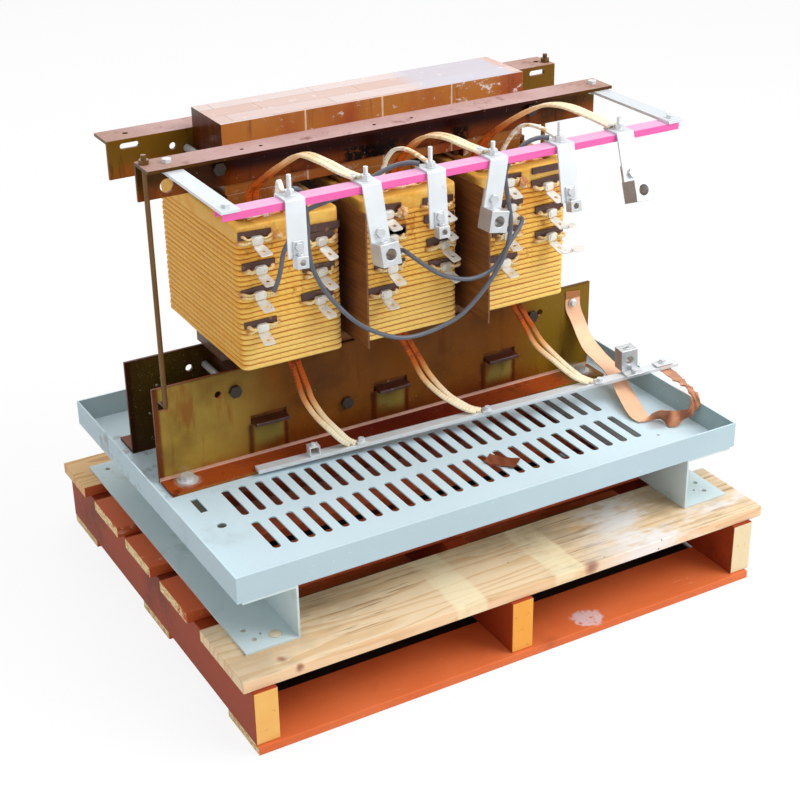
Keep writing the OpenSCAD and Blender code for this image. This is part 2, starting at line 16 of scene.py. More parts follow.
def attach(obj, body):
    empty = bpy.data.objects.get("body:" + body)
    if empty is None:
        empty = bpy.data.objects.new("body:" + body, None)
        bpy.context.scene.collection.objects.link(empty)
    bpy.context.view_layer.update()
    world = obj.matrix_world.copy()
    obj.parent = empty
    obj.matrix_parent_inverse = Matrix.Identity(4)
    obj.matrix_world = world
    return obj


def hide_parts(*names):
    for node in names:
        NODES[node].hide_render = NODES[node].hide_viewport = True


bl_info = {
    "name": "Open transformer dress",
    "version": (1, 0, 0),
    "blender": (4, 5, 0),
    "location": "View3D > Sidebar > Transformer",
    "description": "Dresses the plain solids of an open transformer with detailed pieces and finishes",
    "category": "Add Mesh",
}

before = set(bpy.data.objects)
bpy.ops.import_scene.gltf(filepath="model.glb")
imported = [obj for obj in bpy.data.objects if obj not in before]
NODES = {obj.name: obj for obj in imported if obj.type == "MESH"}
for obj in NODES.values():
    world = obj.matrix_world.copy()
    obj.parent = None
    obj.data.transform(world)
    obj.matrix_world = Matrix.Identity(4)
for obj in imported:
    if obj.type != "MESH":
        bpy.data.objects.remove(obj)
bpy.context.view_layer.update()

MM = 0.001
# centre of the core assembly, and of the tray, in the part's frame
CORE = np.array([6.0, 122.0, 0.0]) * MM
TRAY = np.array([2.0, 12.0, 0.0]) * MM
# heights and places in millimetres from the core's centre
FLOOR_TOP = 214.6
SLOTS, SLOT_PITCH = 24, 28.8
LEG_PITCH = 208
COIL_BOTTOM, COIL_WIDTH, COIL_DEPTH = 415, 172, 296
CLAMP_TOP = 742
BAR_TOP, BAR_FRONT = 732.5, -300

# straps over the bar: x, forward tilt and lean to the right (degrees), hanging length, 1 for a large lug
STRAPS = [(-270, 8, -3, 80, 0), (-151, 9, 4, 83, 1), (-46, 5, 0, 82, 0),
          (60, 3, -11, 73, 1), (177, 14, -2, 85, 0), (286, 23, -3, 74, 1)]
# tap terminals: x and z on the coil's front face, turn of the tongue; one list for each coil
TAPS = [[(-263, 622, 6), (-259, 575, 5), (-263, 535, 5), (-261, 482, -3),
         (-158, 599, 17), (-160, 550, 17), (-164, 505, 17)],
        [(-43, 619, 3), (-36, 578, 3), (-37, 529, 3), (-49, 489, 0),
         (50, 617, 18), (52, 586, 20), (57, 549, 17), (59, 512, 17)],
        [(177, 629, 0), (181, 586, 2), (178, 540, 0), (172, 494, 0),
         (252, 609, 12), (260, 562, 12), (261, 521, 12)]]
# pressboard strips on the collars that carry no tap
SPARE_STRIPS = [(-150, 612), (252, 630), (-34, 578)]
TAP_FACE = -148
UPPER_LEADS = [
    [(-242, -93, 655.2), (-241, -101, 682), (-232, -128, 708), (-218, -160, 735),
     (-203, -193, 756), (-188, -228, 753), (-172, -256, 743), (-159, -276.5, 737.8)],
    [(3, -93, 655.2), (4, -102, 675), (8, -120, 700), (14, -150, 728),
     (21, -180, 743), (31, -215, 746), (42, -248, 741), (51, -276.5, 737.8)],
    [(152, -93, 655.2), (157, -104, 684), (166, -132, 713), (183, -160, 738),
     (212, -190, 760), (236, -216, 762), (262, -246, 750), (282, -276.5, 737.8)],
]
LOWER_LEADS = [
    [(-192, -93, 407.8), (-188, -106, 386), (-183, -118, 354), (-176, -122, 326),
     (-160, -126, 296), (-136, -132, 264), (-121, -136, 246), (-108, -137, 236.4)],
    [(6, -93, 407.8), (9, -106, 386), (19, -120, 357), (38, -126, 317),
     (64, -134, 282), (90, -148, 260), (104, -158, 251.5), (116, -163, 247.4)],
    [(222, -93, 407.8), (226, -108, 392), (237, -124, 362), (252, -136, 330),
     (280, -156, 295), (304, -176, 270), (316, -184, 262.5), (326, -189, 257.6)],
]
# short pale leads from the coils to the studs of the small straps
SHORT_LEADS = [[(-262, -118, 650), (-263, -168, 670), (-265, -212, 692), (-268, -242, 722),
                (-270, -254, 746), (-274, -272, 737.8)],
               [(-36, -118, 650), (-42, -142, 694), (-46, -176, 728), (-47, -210, 742),
                (-45, -242, 743), (-42, -272, 737.8)],
               [(176, -118, 650), (177, -146, 696), (175, -180, 728), (176, -208, 740),
                (178, -242, 742), (180, -272, 737.8)]]
# left and right edges of the ground strap down to its fold, then lower and upper edges of its crumpled end
GROUND_FALL = [[(360.4, -61.2, 370.7), (361.6, -61.2, 337.5), (369, -70, 311.7), (371.5, -88, 285.8),
                (373.7, -106, 269.7), (381.3, -126, 256.5), (384.4, -142, 249.5), (381.3, -166, 242.4),
                (372, -196, 236.5), (358.5, -236, 228.5), (350.8, -270, 220.5), (354.7, -290.5, 217)],
               [(390.9, -61.2, 367), (392, -61.2, 338.2), (401.1, -68, 306.5), (403.3, -84, 284.7),
                (408.1, -98, 271.2), (412.7, -120, 257.8), (416.8, -142, 249.3), (415.1, -164, 241),
                (406.1, -196, 230.8), (396.5, -228, 226.1), (384.7, -262, 223.3), (378.1, -284.6, 219)]]
GROUND_END = [[(355.8, -291.2, 217), (376.5, -294.3, 216.5), (394.1, -300.6, 217), (388, -327, 216.5),
               (400, -333, 216.5),
               (410, -335.1, 225.5), (424, -341.6, 234.9), (434, -346, 252), (441, -335, 264),
               (456, -294, 260),
               (474, -244, 255), (482, -206, 253)],
              [(377.5, -285.4, 219.5), (382.8, -300, 234.7), (395, -310.9, 238), (408, -327, 241),
               (419, -337, 246),
               (425, -338.5, 253), (430, -329, 261), (437, -308.3, 267), (443, -283.6, 264),
               (450, -253.5, 258),
               (457, -224, 255), (460, -204, 253)]]
JUMPERS = {
    "jumper_long": [(167, -274, 739.2), (152, -266, 739), (130, -258, 728), (106, -252, 695),
                    (110, -250, 655), (120, -246, 610), (118, -242, 570), (105, -240, 538),
                    (80, -238, 504), (43, -234, 469), (8, -232, 455), (-33, -230, 448),
                    (-70, -230, 452), (-107, -230, 469), (-143, -232, 495), (-175, -235, 530),
                    (-202, -240, 568), (-220, -246, 606), (-230, -255, 645), (-233, -263, 684),
                    (-238, -264, 716), (-245, -266, 733), (-259, -274, 739.2)],
    "jumper_short": [(-57, -274, 739.2), (-70, -265, 740), (-91, -255, 735), (-122, -248, 722),
                     (-158, -238, 702), (-188, -224, 690), (-208, -205, 674), (-218, -190, 650),
                     (-224, -180, 625), (-233, -178, 606), (-242, -187, 588), (-252, -194, 571),
                     (-259, -194, 557)],
    "jumper_tap": [(-36, -178, 570.5), (-41, -196, 577), (-40, -210, 576), (-20, -222, 558), (5, -226, 539),
                   (31, -228, 527), (58, -228, 520), (84, -228, 522), (103, -226, 528),
                   (120, -222, 543), (134, -218, 556), (150, -212, 568), (166, -204, 578),
                   (177, -192, 583), (181, -178, 578.5)],
}
CABLE_SIZE = 7 * MM


# Shader sums


def rgb(code):
    """A colour written as hex digits, as linear red, green, blue and alpha."""
    part = [int(code[i : i + 2], 16) / 255 for i in (0, 2, 4)]
    return tuple(c / 12.92 if c <= 0.04045 else ((c + 0.055) / 1.055) ** 2.4 for c in part) + (1.0,)


class Sock:
    """A node's output that can stand in a sum; each operator adds one Math node."""

    def __init__(self, paint, out):
        self.paint, self.out = paint, out

    def math(self, operation, *values, clamp=False):
        return self.paint.add("Math", {"operation": operation, "use_clamp": clamp},
                              dict(enumerate(values)))[0]

    def __add__(self, other):
        return self.math("ADD", self, other)

    def __sub__(self, other):
        return self.math("SUBTRACT", self, other)

    def __rsub__(self, other):
        return self.math("SUBTRACT", other, self)

    def __mul__(self, other):
        return self.math("MULTIPLY", self, other)

    def size(self):
        return self.math("ABSOLUTE", self)

    def fract(self):
        return self.math("FRACT", self)

    def most(self, other):
        return self.math("MAXIMUM", self, other)

    def __gt__(self, other):
        return self.math("GREATER_THAN", self, other)

    def __lt__(self, other):
        return self.math("LESS_THAN", self, other)

    __radd__, __rmul__ = __add__, __mul__


class Node:
    """A node whose outputs are read by name or number."""

    def __init__(self, paint, node):
        self.paint, self.node = paint, node

    def __getitem__(self, key):
        return Sock(self.paint, self.node.outputs[key])


class Tree:
    """A node tree to which nodes are added."""

    def __init__(self, tree):
        self.tree = tree

    def add(self, kind, settings=(), sockets=()):
        """Adds a node: its settings first, then values or links for its sockets."""
        node = self.tree.nodes.new("ShaderNode" + kind)
        for key, value in dict(settings).items():
            setattr(node, key, value)
        for key, value in dict(sockets).items():
            if isinstance(value, Sock):
                self.tree.links.new(value.out, node.inputs[key])
            else:
                node.inputs[key].default_value = value
        return Node(self, node)


class Paint(Tree):
    """One material, built on the Principled shader from sums of sockets."""

    def __init__(self, name):
        self.material = bpy.data.materials.new(name)
        self.material.use_nodes = True
        super().__init__(self.material.node_tree)
        self.shader = self.tree.nodes["Principled BSDF"]
        self.place = self.add("TexCoord")["Object"]
        self.map = self.add("TexCoord")["UV"]
        self.base = None

    def noise(self, scale, detail=4.0, rough=0.55, stretch=(1, 1, 1), spot=None, twist=0.0, turn=(0, 0, 0)):
        """Noise from 0 to 1 at so many features a metre, squeezed or drawn out along the axes."""
        at = self.add("Mapping", {},
                      {"Vector": spot or self.place, "Scale": stretch, "Rotation": turn})["Vector"]
        made = self.add("TexNoise", {}, {"Vector": at, "Scale": scale, "Detail": detail, "Roughness": rough,
                                         "Distortion": twist})
        return made["Fac"]

    def ramp(self, value, low, high, smooth=True):
        """0 below low, 1 above high and a smooth rise between; high below low turns it round."""
        kind = "SMOOTHSTEP" if smooth else "LINEAR"
        return self.add("MapRange", {"interpolation_type": kind}, {0: value, 1: low, 2: high})[0]

    def spots(self, low, high, *cloud, **more):
        """Noise brought to 0 below low and 1 above high."""
        return self.ramp(self.noise(*cloud, **more), low, high)

    def mix(self, a, b, share):
        """Colour a turning into colour b by the share; a text is hex digits."""
        a, b = (rgb(c) if isinstance(c, str) else c for c in (a, b))
        return self.add("Mix", {"data_type": "RGBA", "clamp_factor": True}, {0: share, 6: a, 7: b})[2]

    def lay(self, colour, share):
        """Lays a colour over the base by the share."""
        self.base = self.mix(self.base, colour, share)

    def away(self, spot):
        """Distance from a spot, in metres."""
        return self.add("VectorMath", {"operation": "DISTANCE"}, {0: self.place, 1: spot})["Value"]

    def axis(self, name, spot=None):
        return self.add("SeparateXYZ", {}, {0: spot or self.place})[name]

    def facing(self, name):
        """How far the surface faces along one axis, from -1 to 1."""
        return self.add("SeparateXYZ", {}, {0: self.add("NewGeometry")["Normal"]})[name]

    def tops(self):
        """1 where the surface faces up."""
        return self.ramp(self.facing("Z"), 0.5, 0.9)

    def bump(self, height, depth, strength=1.0):
        """Raises the surface by depth metres where the height is 1."""
        made = self.add("Bump", {}, {"Strength": strength, "Distance": depth, "Height": height})
        self.tree.links.new(made["Normal"].out, self.shader.inputs["Normal"])

    def set(self, **sockets):
        sockets.setdefault("Base_Color", self.base)
        for key, value in sockets.items():
            socket = self.shader.inputs[key.replace("_", " ")]
            if isinstance(value, Sock):
                self.tree.links.new(value.out, socket)
            else:
                socket.default_value = value
        return self.material


# Finishes

FINISHES = {}


def finish(name):
    """The material of that name, made once from its row in PLAIN or by the function in FINISH_MAKERS."""
    if name not in FINISHES:
        p = Paint(name)
        FINISHES[name] = plain(p, *PLAIN[name]) if name in PLAIN else FINISH_MAKERS[name](p)
    return FINISHES[name]


def plain(p, dark, pale, cloud, stain, constants):
    """A finish from one row of PLAIN."""
    p.base = p.mix(dark, pale, p.noise(*cloud))
    if stain:
        colour, low, high, spots, share = stain
        p.lay(colour, p.spots(low, high, *spots) * share)
    return p.set(**constants)


def tray_coat(p):
    """Pale grey-blue coated sheet: faint cloudiness, dust specks, scuffs, brown drips and a stain; painted
    light makes the upward and inner faces paler, with a painted highlight on the left inner wall and painted
    shade on the right one."""
    cloud = p.noise(3.5, 3)
    x, y = p.axis("X"), p.axis("Y")
    # Painted light: upward faces and the inner face of the left wall are painted paler where the light falls.
    painted_light_inside = p.tops() + p.ramp(p.facing("X"), 0.5, 0.9) * (x < 0)
    p.base = p.mix("A9C0C9", "B9CED6", cloud)
    p.lay(p.mix("C3DAE4", "D2E8F1", cloud), painted_light_inside)
    # Painted highlight on the inner face of the left wall.
    p.lay("F2FAFC", p.ramp(p.facing("X"), 0.5, 0.9) * (x < 0) * 0.8)
    # Painted shade on the inner face of the right wall.
    p.lay("8FA6A6", p.ramp(p.facing("X"), -0.5, -0.9) * (x > 0) * 0.6)
    speck = p.spots(0.735, 0.76, 260, 1)
    p.lay("F1F6F7", speck * 0.6)
    scuff = p.spots(0.66, 0.74, 9, 5, 0.7) * p.spots(0.5, 0.6, 120, 3)
    p.lay("E4EEF0", scuff * 0.7)
    grime = p.spots(0.6, 0.8, 5, 5, 0.65, turn=(0, 0, 0.6))
    p.lay("8B989B", grime * 0.3)
    under = p.ramp(y + 0.04 * p.noise(30, 4, 0.7), 0.0, 0.06) * p.ramp(y, 0.27, 0.24)
    p.lay("6B4A2C", under * p.spots(0.5, 0.66, 24, 5, 0.7) * 0.5)
    for spot, size, depth in (((0.385, -0.186, 0.2146), 0.034, 0.45), ((0.363, -0.217, 0.2146), 0.0045, 0.9)):
        away = p.away(spot)
        p.lay("6E5348", p.ramp(away + 0.3 * size * p.noise(60, 3), size, size * 0.3) * depth)
    p.bump(p.noise(700, 2), 0.00006, 0.4)
    return p.set(Roughness=0.42 + 0.12 * cloud, Specular_IOR_Level=0.3)


def foot_coat(p):
    """The tray's coat on the channel feet, painted paler as painted light against the shade under the tray, a
    little soiled, with painted shade on the tops under the tray.
    """
    cloud = p.noise(6, 4)
    # Painted light: paler than the tray's own coat, to make up for the shade under the tray.
    p.base = p.mix("BFCFD1", "D6E4E7", cloud)
    grime = p.spots(0.56, 0.75, 14, 5, 0.7)
    p.lay("98A19B", grime * 0.4)
    speck = p.spots(0.7, 0.75, 300, 2)
    p.lay("F2F6F6", speck * 0.5)
    # Painted shade on the upward faces just under the tray.
    p.lay("45473F", p.ramp(p.axis("Z"), 0.195, 0.205) * p.tops())
    p.bump(p.noise(600, 2), 0.00006, 0.4)
    return p.set(Roughness=0.4 + 0.15 * cloud, Specular_IOR_Level=0.3)


def clamp_low(p):
    """Olive plating under run varnish, amber to red-brown in soft clouds; pale patches and red runs below
    the bars."""
    x, y, z = p.axis("X"), p.axis("Y"), p.axis("Z")
    wide = p.noise(5, 4, 0.6)
    left = p.ramp(x + 0.12 * p.noise(7, 3), -0.1, -0.27)
    right = p.ramp(x + 0.08 * p.noise(9, 3), 0.29, 0.37)
    p.base = p.mix("7E4812", "5E3610", p.ramp(wide, 0.4, 0.62))
    p.lay(p.mix("A98A3C", "86682A", p.ramp(wide, 0.4, 0.6)), left)
    p.lay("7E6214", right * 0.9)
    p.lay("A0520E", p.spots(0.55, 0.7, 11, 4, 0.6, stretch=(1, 1, 0.5)) * (0.45 - 0.3 * right))
    p.lay("5A2007", p.ramp(z + 0.05 * p.noise(12, 4), 0.29, 0.25) * 0.6 * (1 - left) * (1 - right))
    rust = p.ramp(z + 0.05 * p.noise(22, 4), 0.262, 0.238) + p.ramp(x + 0.02 * p.noise(30, 4), -0.385, -0.4)
    p.lay("93400C", rust * left * 0.75)
    for centre in (-0.212, 0.014, 0.230):
        below = p.ramp(z, 0.279, 0.272)
        soft = p.spots(0.25, 0.5, 26, 3, 0.5)
        patch = below * p.ramp((x - centre).size(), 0.031, 0.02) * p.ramp(z, 0.226, 0.25) * soft
        p.lay("8F8440", patch * 0.7)
        drip = below * p.ramp((x - (centre - 0.033)).size() + 0.01 * p.noise(60, 3, stretch=(1, 1, 0.2)),
                              0.013, 0.006)
        drip = drip.most(below * p.ramp((x - (centre + 0.03)).size() + 0.008 * p.noise(50, 3), 0.01, 0.004))
        p.lay("481004", drip * 0.8)
    streak = p.spots(0.56, 0.74, 45, 4, 0.6, stretch=(1, 1, 0.16))
    p.lay("541C06", streak * 0.35)
    run = p.spots(0.56, 0.66, 26, 4, 0.6, stretch=(1, 1, 0.2))
    p.lay("86340A", run * left * 0.5)
    edge = p.ramp(x, -0.394, -0.4)
    p.lay("5E1E08", edge * 0.8)
    flat = p.tops()
    shelf = p.mix("5E180A", "A1481A", p.ramp((x - 0.02).size() + 0.12 * p.noise(10, 4), 0.12, 0.36))
    shelf = p.mix(shelf, "4A1608", p.spots(0.52, 0.7, 30, 5, 0.7) * 0.7)
    shelf = p.mix(shelf, "7A5A30", p.ramp(x, 0.33, 0.36) * 0.8)
    p.lay(shelf, flat)
    # Painted highlight along the bend between web and flange.
    line = p.ramp((y - 0.0605).size() + 0.001 * p.noise(80, 3), 0.0032, 0.0016) * p.ramp(z, 0.2245, 0.2225)
    p.lay("E3B9A6", line * 0.8)
    # Painted shade on the rear clamp's faces that look towards the core.
    p.lay("1E1204", p.ramp(y, 0.12, 0.13) * p.ramp(p.facing("Y"), 0.2, -0.2) * 0.85)
    for spot in ((-0.368, 0.041, 0.22), (0.388, 0.041, 0.22)):
        away = p.away(spot)
        ring = p.ramp(away + 0.016 * p.noise(90, 4, 0.7), 0.034, 0.02)
        p.lay("CFC6B8", ring * 0.7)
    speck = p.spots(0.68, 0.74, 420, 2)
    p.lay("E6D8B0", speck * 0.4)
    rim = p.ramp(z + 0.004 * p.noise(60, 3), 0.377, 0.3795)
    p.lay("2B1207", rim * 0.5)
    p.bump(streak + 0.4 * p.noise(200, 3), 0.0002, 0.5)
    return p.set(Roughness=0.3 + 0.2 * wide, Specular_IOR_Level=0.1, Coat_Weight=0.04, Coat_Roughness=0.2)


def clamp_high(p):
    """The upper angles: dusty mauve on top, dark red-brown webs with olive ends, white specks, a burnt
    crust."""
    x, y, z = p.axis("X"), p.axis("Y"), p.axis("Z")
    olive = p.ramp(x.size() + 0.12 * p.noise(14, 3), 0.28, 0.46)
    web = p.mix("300702", "52330A", olive)
    web = p.mix(web, "7A5614", p.ramp(y, 0.15, 0.16) * (0.4 + 0.5 * p.noise(10, 3)))
    low = p.ramp(z, 0.712, 0.69)
    web = p.mix(web, "9A4A12", low * p.spots(0.35, 0.55, 12, 3) * 0.6)
    drip = p.spots(0.56, 0.7, 80, 4, 0.6, stretch=(1, 1, 0.12))
    web = p.mix(web, "200604", drip * 0.6)
    middle = p.ramp((x + 0.014).size() + 0.02 * p.noise(60, 4), 0.066, 0.05)
    other = p.ramp((x - 0.15).size() + 0.02 * p.noise(60, 4), 0.032, 0.018)
    burnt = middle.most(other) * p.ramp(z + 0.016 * p.noise(90, 5, 0.7), 0.716, 0.708)
    burnt = burnt * p.ramp(y, 0.07, 0.066) * p.spots(0.35, 0.5, 120, 4, 0.7)
    web = p.mix(web, "0B0706", burnt)
    dust = p.mix("A88580", "CFB0AE", p.noise(18, 5, 0.7))
    dust = p.mix(dust, "8C6A4A", p.ramp(x.size(), 0.26, 0.4) * 0.5)
    flat = p.ramp(p.facing("Z"), 0.55, 0.9)
    dust = p.mix(dust, "6E3B33", p.spots(0.56, 0.72, 26, 5, 0.7) * 0.7)
    p.base = p.mix(web, dust, flat)
    speck = p.spots(0.66, 0.74, 170, 3, 0.7)
    p.lay("EDE2E0", speck * (0.2 + 0.65 * flat))
    p.bump(drip + p.noise(150, 4) + 3 * burnt * p.noise(260, 3), 0.00025, 0.5)
    return p.set(Roughness=0.3 + 0.35 * flat, Specular_IOR_Level=0.09)


def core_stack(p):
    """Varnished laminations: salmon blocks of step-lap joints on top, copper brown sides with pale dried
    runs."""
    x, z = p.axis("X"), p.axis("Z")
    blocks = p.add("TexBrick", {"offset": 0.37, "squash": 1.0},
                   {"Vector": p.place, "Color1": rgb("CAAEA4"), "Color2": rgb("D4C9C8"),
                    "Mortar": rgb("A07A68"),
                    "Scale": 1.0, "Mortar Size": 0.0005, "Mortar Smooth": 0.3, "Bias": -0.1,
                    "Brick Width": 0.172, "Row Height": 0.0365})["Color"]
    lamina = p.noise(900, 2, stretch=(0.01, 1, 0.01))
    top = p.mix(blocks, "C6A498", p.ramp(lamina, 0.45, 0.7) * 0.35)
    grey = p.ramp(x + 0.05 * p.noise(20, 3), 0.09, 0.14) * p.ramp(x, 0.262, 0.25)
    top = p.mix(top, "BDBCC8", grey * 0.8)
    top = p.mix(top, "E6DCD8", p.spots(0.62, 0.7, 45, 4, 0.7) * 0.7)
    panel = p.mix("A8692A", "944620", p.spots(0.42, 0.6, 7, 3, stretch=(1, 1, 0.4)))
    for joint in (-0.262, -0.121, 0.012, 0.137):
        line = p.ramp((x - joint).size() + 0.0015 * p.noise(90, 3), 0.0028, 0.0016)
        panel = p.mix(panel, "D9C3A8", line * 0.75)
    run = p.spots(0.56, 0.7, 60, 4, 0.6, stretch=(1, 1, 0.1))
    panel = p.mix(panel, "5C2611", run * 0.55)
    crust = p.spots(0.55, 0.62, 38, 6, 0.75, stretch=(1, 1, 1.6))
    crust = crust * (p.ramp(x + 0.05 * p.noise(12, 3), 0.12, 0.2) + 0.35 * p.spots(0.52, 0.6, 5, 1))
    side = p.mix(panel, "D3CBC4", crust)
    end = p.mix("3E1606", "6B3312", p.ramp(lamina, 0.4, 0.7))
    # Painted shade: the ends darker towards the bottom, under the coils.
    end = p.mix(end, "170A05", p.ramp(z, 0.5, 0.4))
    ends = p.ramp(p.facing("X").size(), 0.5, 0.9)
    side = p.mix(side, end, ends)
    # Painted shade: darker towards the bottom.
    side = p.mix(side, "4A2410", p.ramp(z, 0.6, 0.5) * 0.6)
    flake = p.spots(0.6, 0.65, 44, 6, 0.75) * p.ramp(z, 0.68, 0.7) * p.ramp(x.size(), 0.24, 0.12)
    side = p.mix(side, "CFC8C4", flake * 0.7)
    up = p.tops()
    p.bump(lamina * (up + ends) + 0.5 * crust, 0.0003, 0.5)
    return p.set(Base_Color=p.mix(side, top, up), Roughness=0.3 + 0.3 * up, Specular_IOR_Level=0.2,
                 Coat_Weight=0.1 - 0.1 * up)


def coil_tape(p):
    """Yellow taped turns: slanted tape laps, amber varnish in the grooves, stains, a painted highlight along
    each turn and painted shade on the faces away from the front; v of the map counts turns."""
    u, v = p.axis("X", p.map), p.axis("Y", p.map)
    part = v.fract()
    groove = p.ramp((part - 0.5).size(), 0.35, 0.48)
    lap = u * 70 + part * 0.6 + p.noise(30, 2) * 0.6
    seam = p.ramp(lap.fract(), 0.8, 0.97)
    turn = v.math("FLOOR", v)
    tone = p.add("TexWhiteNoise", {"noise_dimensions": "1D"}, {"W": turn})[0]
    p.base = p.mix("F2B03C", "FDD472", p.noise(16, 4) * 0.65 + tone * 0.35)
    p.lay("F6DC9C", p.spots(0.56, 0.7, 260, 3, 0.6, stretch=(0.3, 0.3, 1)) * 0.3)
    p.lay("C88E38", seam * 0.45)
    stain = p.spots(0.56, 0.72, 9, 5, 0.65)
    p.lay("DA8E22", stain * 0.55)
    front = p.ramp(p.facing("Y"), -0.4, -0.8)
    low = p.ramp(p.axis("Z") + 0.05 * p.noise(14, 4, 0.6), 0.55, 0.47) * front
    p.lay("F8DC90", low * 0.4)
    p.lay("D8892A", p.ramp(p.axis("Z") + 0.06 * p.noise(11, 4, 0.6), 0.57, 0.64) * front * 0.5)
    # Painted highlight along the rounded middle of each turn.
    crest_highlight = p.ramp((part - 0.5).size(), 0.3, 0.05) * p.spots(0.3, 0.6, 60, 3, 0.6)
    p.lay("FFD970", crest_highlight * 0.4)
    p.lay("B05A0C", groove * 0.95)
    collar = p.ramp(v, 24.02, 24.2)
    p.lay(p.mix("F0C468", "E5A640", p.spots(0.45, 0.65, 24, 5, 0.7)), collar * 0.8)
    wet = p.spots(0.56, 0.64, 26, 5, 0.7) * front * p.ramp(p.axis("Z"), 0.48, 0.51) * (1 - 0.5 * collar)
    p.lay("9A4A10", wet * 0.6)
    amber = p.spots(0.62, 0.72, 34, 4, 0.7, stretch=(1, 1, 3))
    p.lay("C4741E", amber * 0.4)
    # Painted shade on the faces that do not face the front.
    p.lay("DC9434", (1 - front) * 0.4)
    p.bump(seam * -1 + p.noise(420, 2) * 0.5, 0.00022, 0.6)
    return p.set(Roughness=0.5 - 0.2 * groove, Specular_IOR_Level=0.12)


def inner_tape(p):
    """Deep orange taped inner winding with crumpled, brighter flaps and painted shade for the dark gaps."""
    fold = p.noise(30, 5, 0.65, stretch=(1, 1, 0.35))
    p.base = p.mix("A8500F", "E09A35", p.ramp(fold, 0.35, 0.65))
    # Painted shade in the gaps between the folds.
    p.lay("4A1808", p.spots(0.6, 0.75, 22, 4, 0.6) * 0.8)
    p.lay("F0D49A", p.spots(0.66, 0.74, 60, 3) * 0.6)
    p.bump(fold, 0.0012, 0.6)
    return p.set(Roughness=0.35, Coat_Weight=0.4, Coat_Roughness=0.15)


def loose_tape(p):
    """Loose ends of orange and whitish tape standing in the ducts."""
    fold = p.noise(40, 5, 0.65, stretch=(1, 1, 0.4))
    p.base = p.mix("C4650F", "F0C684", p.ramp(fold, 0.42, 0.62))
    p.lay("F4EEE2", p.spots(0.58, 0.66, 26, 4, 0.6) * 0.85)
    p.bump(fold, 0.001, 0.6)
    return p.set(Roughness=0.4, Coat_Weight=0.25)


def pressboard(p):
    """Brown pressboard with fine level lines, and painted shade that darkens it towards the rear, between the
    coils.
    """
    line = p.noise(260, 2, stretch=(0.05, 0.05, 1))
    p.base = p.mix("6E3C14", "824E20", p.ramp(line, 0.4, 0.62))
    # Painted shade: darker towards the rear, between the coils.
    dark = p.ramp(p.axis("Y") + 0.04 * p.noise(18, 3), -0.04, 0.03)
    p.lay("2E1006", dark * 0.7)
    p.bump(line, 0.00025, 0.5)
    return p.set(Roughness=0.5, Coat_Weight=0.15)


def wire_tape(p):
    """Tape-wrapped tap wires, soaked orange where they leave the coil; u of the map is 0 there."""
    along = p.axis("X", p.map)
    p.base = p.mix("E8C478", "F6E2B0", p.noise(90, 3))
    root = p.ramp(along + 0.3 * p.noise(70, 3), 0.55, 0.2)
    p.lay("C2691A", root * 0.75)
    lap = along * 7
    seam = p.ramp(lap.fract(), 0.75, 0.95)
    p.bump(seam * -1, 0.0003, 0.5)
    p.lay("B98A45", seam * 0.4)
    return p.set(Roughness=0.5)


def lug_metal(p):
    """Cast aluminium lugs, satin, with dark smears in the corners."""
    p.base = p.mix("B9BCBE", "DDE0E2", p.noise(60, 3))
    p.lay("7E766B", p.spots(0.62, 0.72, 110, 4, 0.7) * 0.5)
    p.bump(p.noise(700, 2), 0.00008, 0.4)
    return p.set(Roughness=0.34, Metallic=0.7)


def fibre_bar(p):
    """Pink fibreglass: drawn fibres along the bar, a pale top that is partly dust and partly a painted sheen.
    """
    fibre = p.noise(500, 3, stretch=(0.02, 1, 1))
    p.base = p.mix("E8489A", "EE70B4", fibre)
    # Pale top: partly dust, partly a painted sheen where the top light falls.
    pale = p.tops()
    p.lay("D8A4C6", pale * (0.75 + 0.25 * p.noise(20, 3)))
    return p.set(Roughness=0.5)


def pale_metal(p):
    """Mill-finish aluminium: faint lengthwise drawing, dull patches and small stains; high tops painted a
    little greyer as painted shade against the strong top light."""
    cloud = p.noise(22, 4)
    p.base = p.mix("CDD4D8", "E6EAED", cloud)
    # Painted shade: high upward faces greyer so the top light does not wash them out.
    top = p.ramp(p.facing("Z"), 0.6, 0.9) * p.ramp(p.axis("Z"), 0.6, 0.7)
    p.lay("C0C6CA", top * 0.7)
    stain = p.spots(0.64, 0.74, 70, 5, 0.7)
    p.lay("A9A59C", stain * 0.45)
    p.bump(p.noise(900, 2), 0.00008, 0.35)
    return p.set(Roughness=0.36 + 0.18 * cloud, Metallic=0.2)


def dark_bolt(p):
    """Through bolts: dark heads, bright zinc shanks between the clamps."""
    p.base = p.mix("2A211B", "4A4038", p.noise(130, 4, 0.7))
    shank = p.ramp((p.axis("Y") - 0.122).size(), 0.061, 0.059)
    p.lay("BFC0BB", shank)
    return p.set(Roughness=0.4, Metallic=0.4)


def lead_tape(p):
    """Cream paper tape wrapped on the leads, soaked orange and brown at the coil; u of the map runs from 0
    there to 1."""
    along, around = p.axis("X", p.map), p.axis("Y", p.map)
    lap = along * 38 + around
    seam = p.ramp(lap.fract(), 0.8, 0.97)
    p.base = p.mix("F0DFB4", "F7EED6", p.noise(50, 4))
    soak = p.ramp(along + 0.4 * p.noise(34, 4, 0.6), 1.05, 0.55)
    p.lay("DC8A22", soak * 0.8)
    p.lay("D99A45", p.spots(0.58, 0.68, 70, 4, 0.7) * 0.6)
    root = p.ramp(along + 0.2 * p.noise(60, 3), 0.62, 0.36)
    p.lay(p.mix("B84A04", "8A3004", p.spots(0.45, 0.6, 60, 3)), root * 0.95)
    p.lay("C08E48", seam * 0.4)
    p.bump(seam * -1, 0.0003, 0.5)
    return p.set(Roughness=0.5 - 0.1 * root, Specular_IOR_Level=0.12)


def short_tape(p):
    """Whiter crumpled tape of the short leads with a few orange folds."""
    fold = p.noise(46, 5, 0.65, twist=0.6)
    p.base = p.mix("D9A45C", "F4EEE0", p.ramp(fold, 0.36, 0.5))
    p.lay("C87A24", p.spots(0.6, 0.68, 60, 4, 0.6) * 0.7)
    p.bump(fold, 0.001, 0.6)
    return p.set(Roughness=0.5)


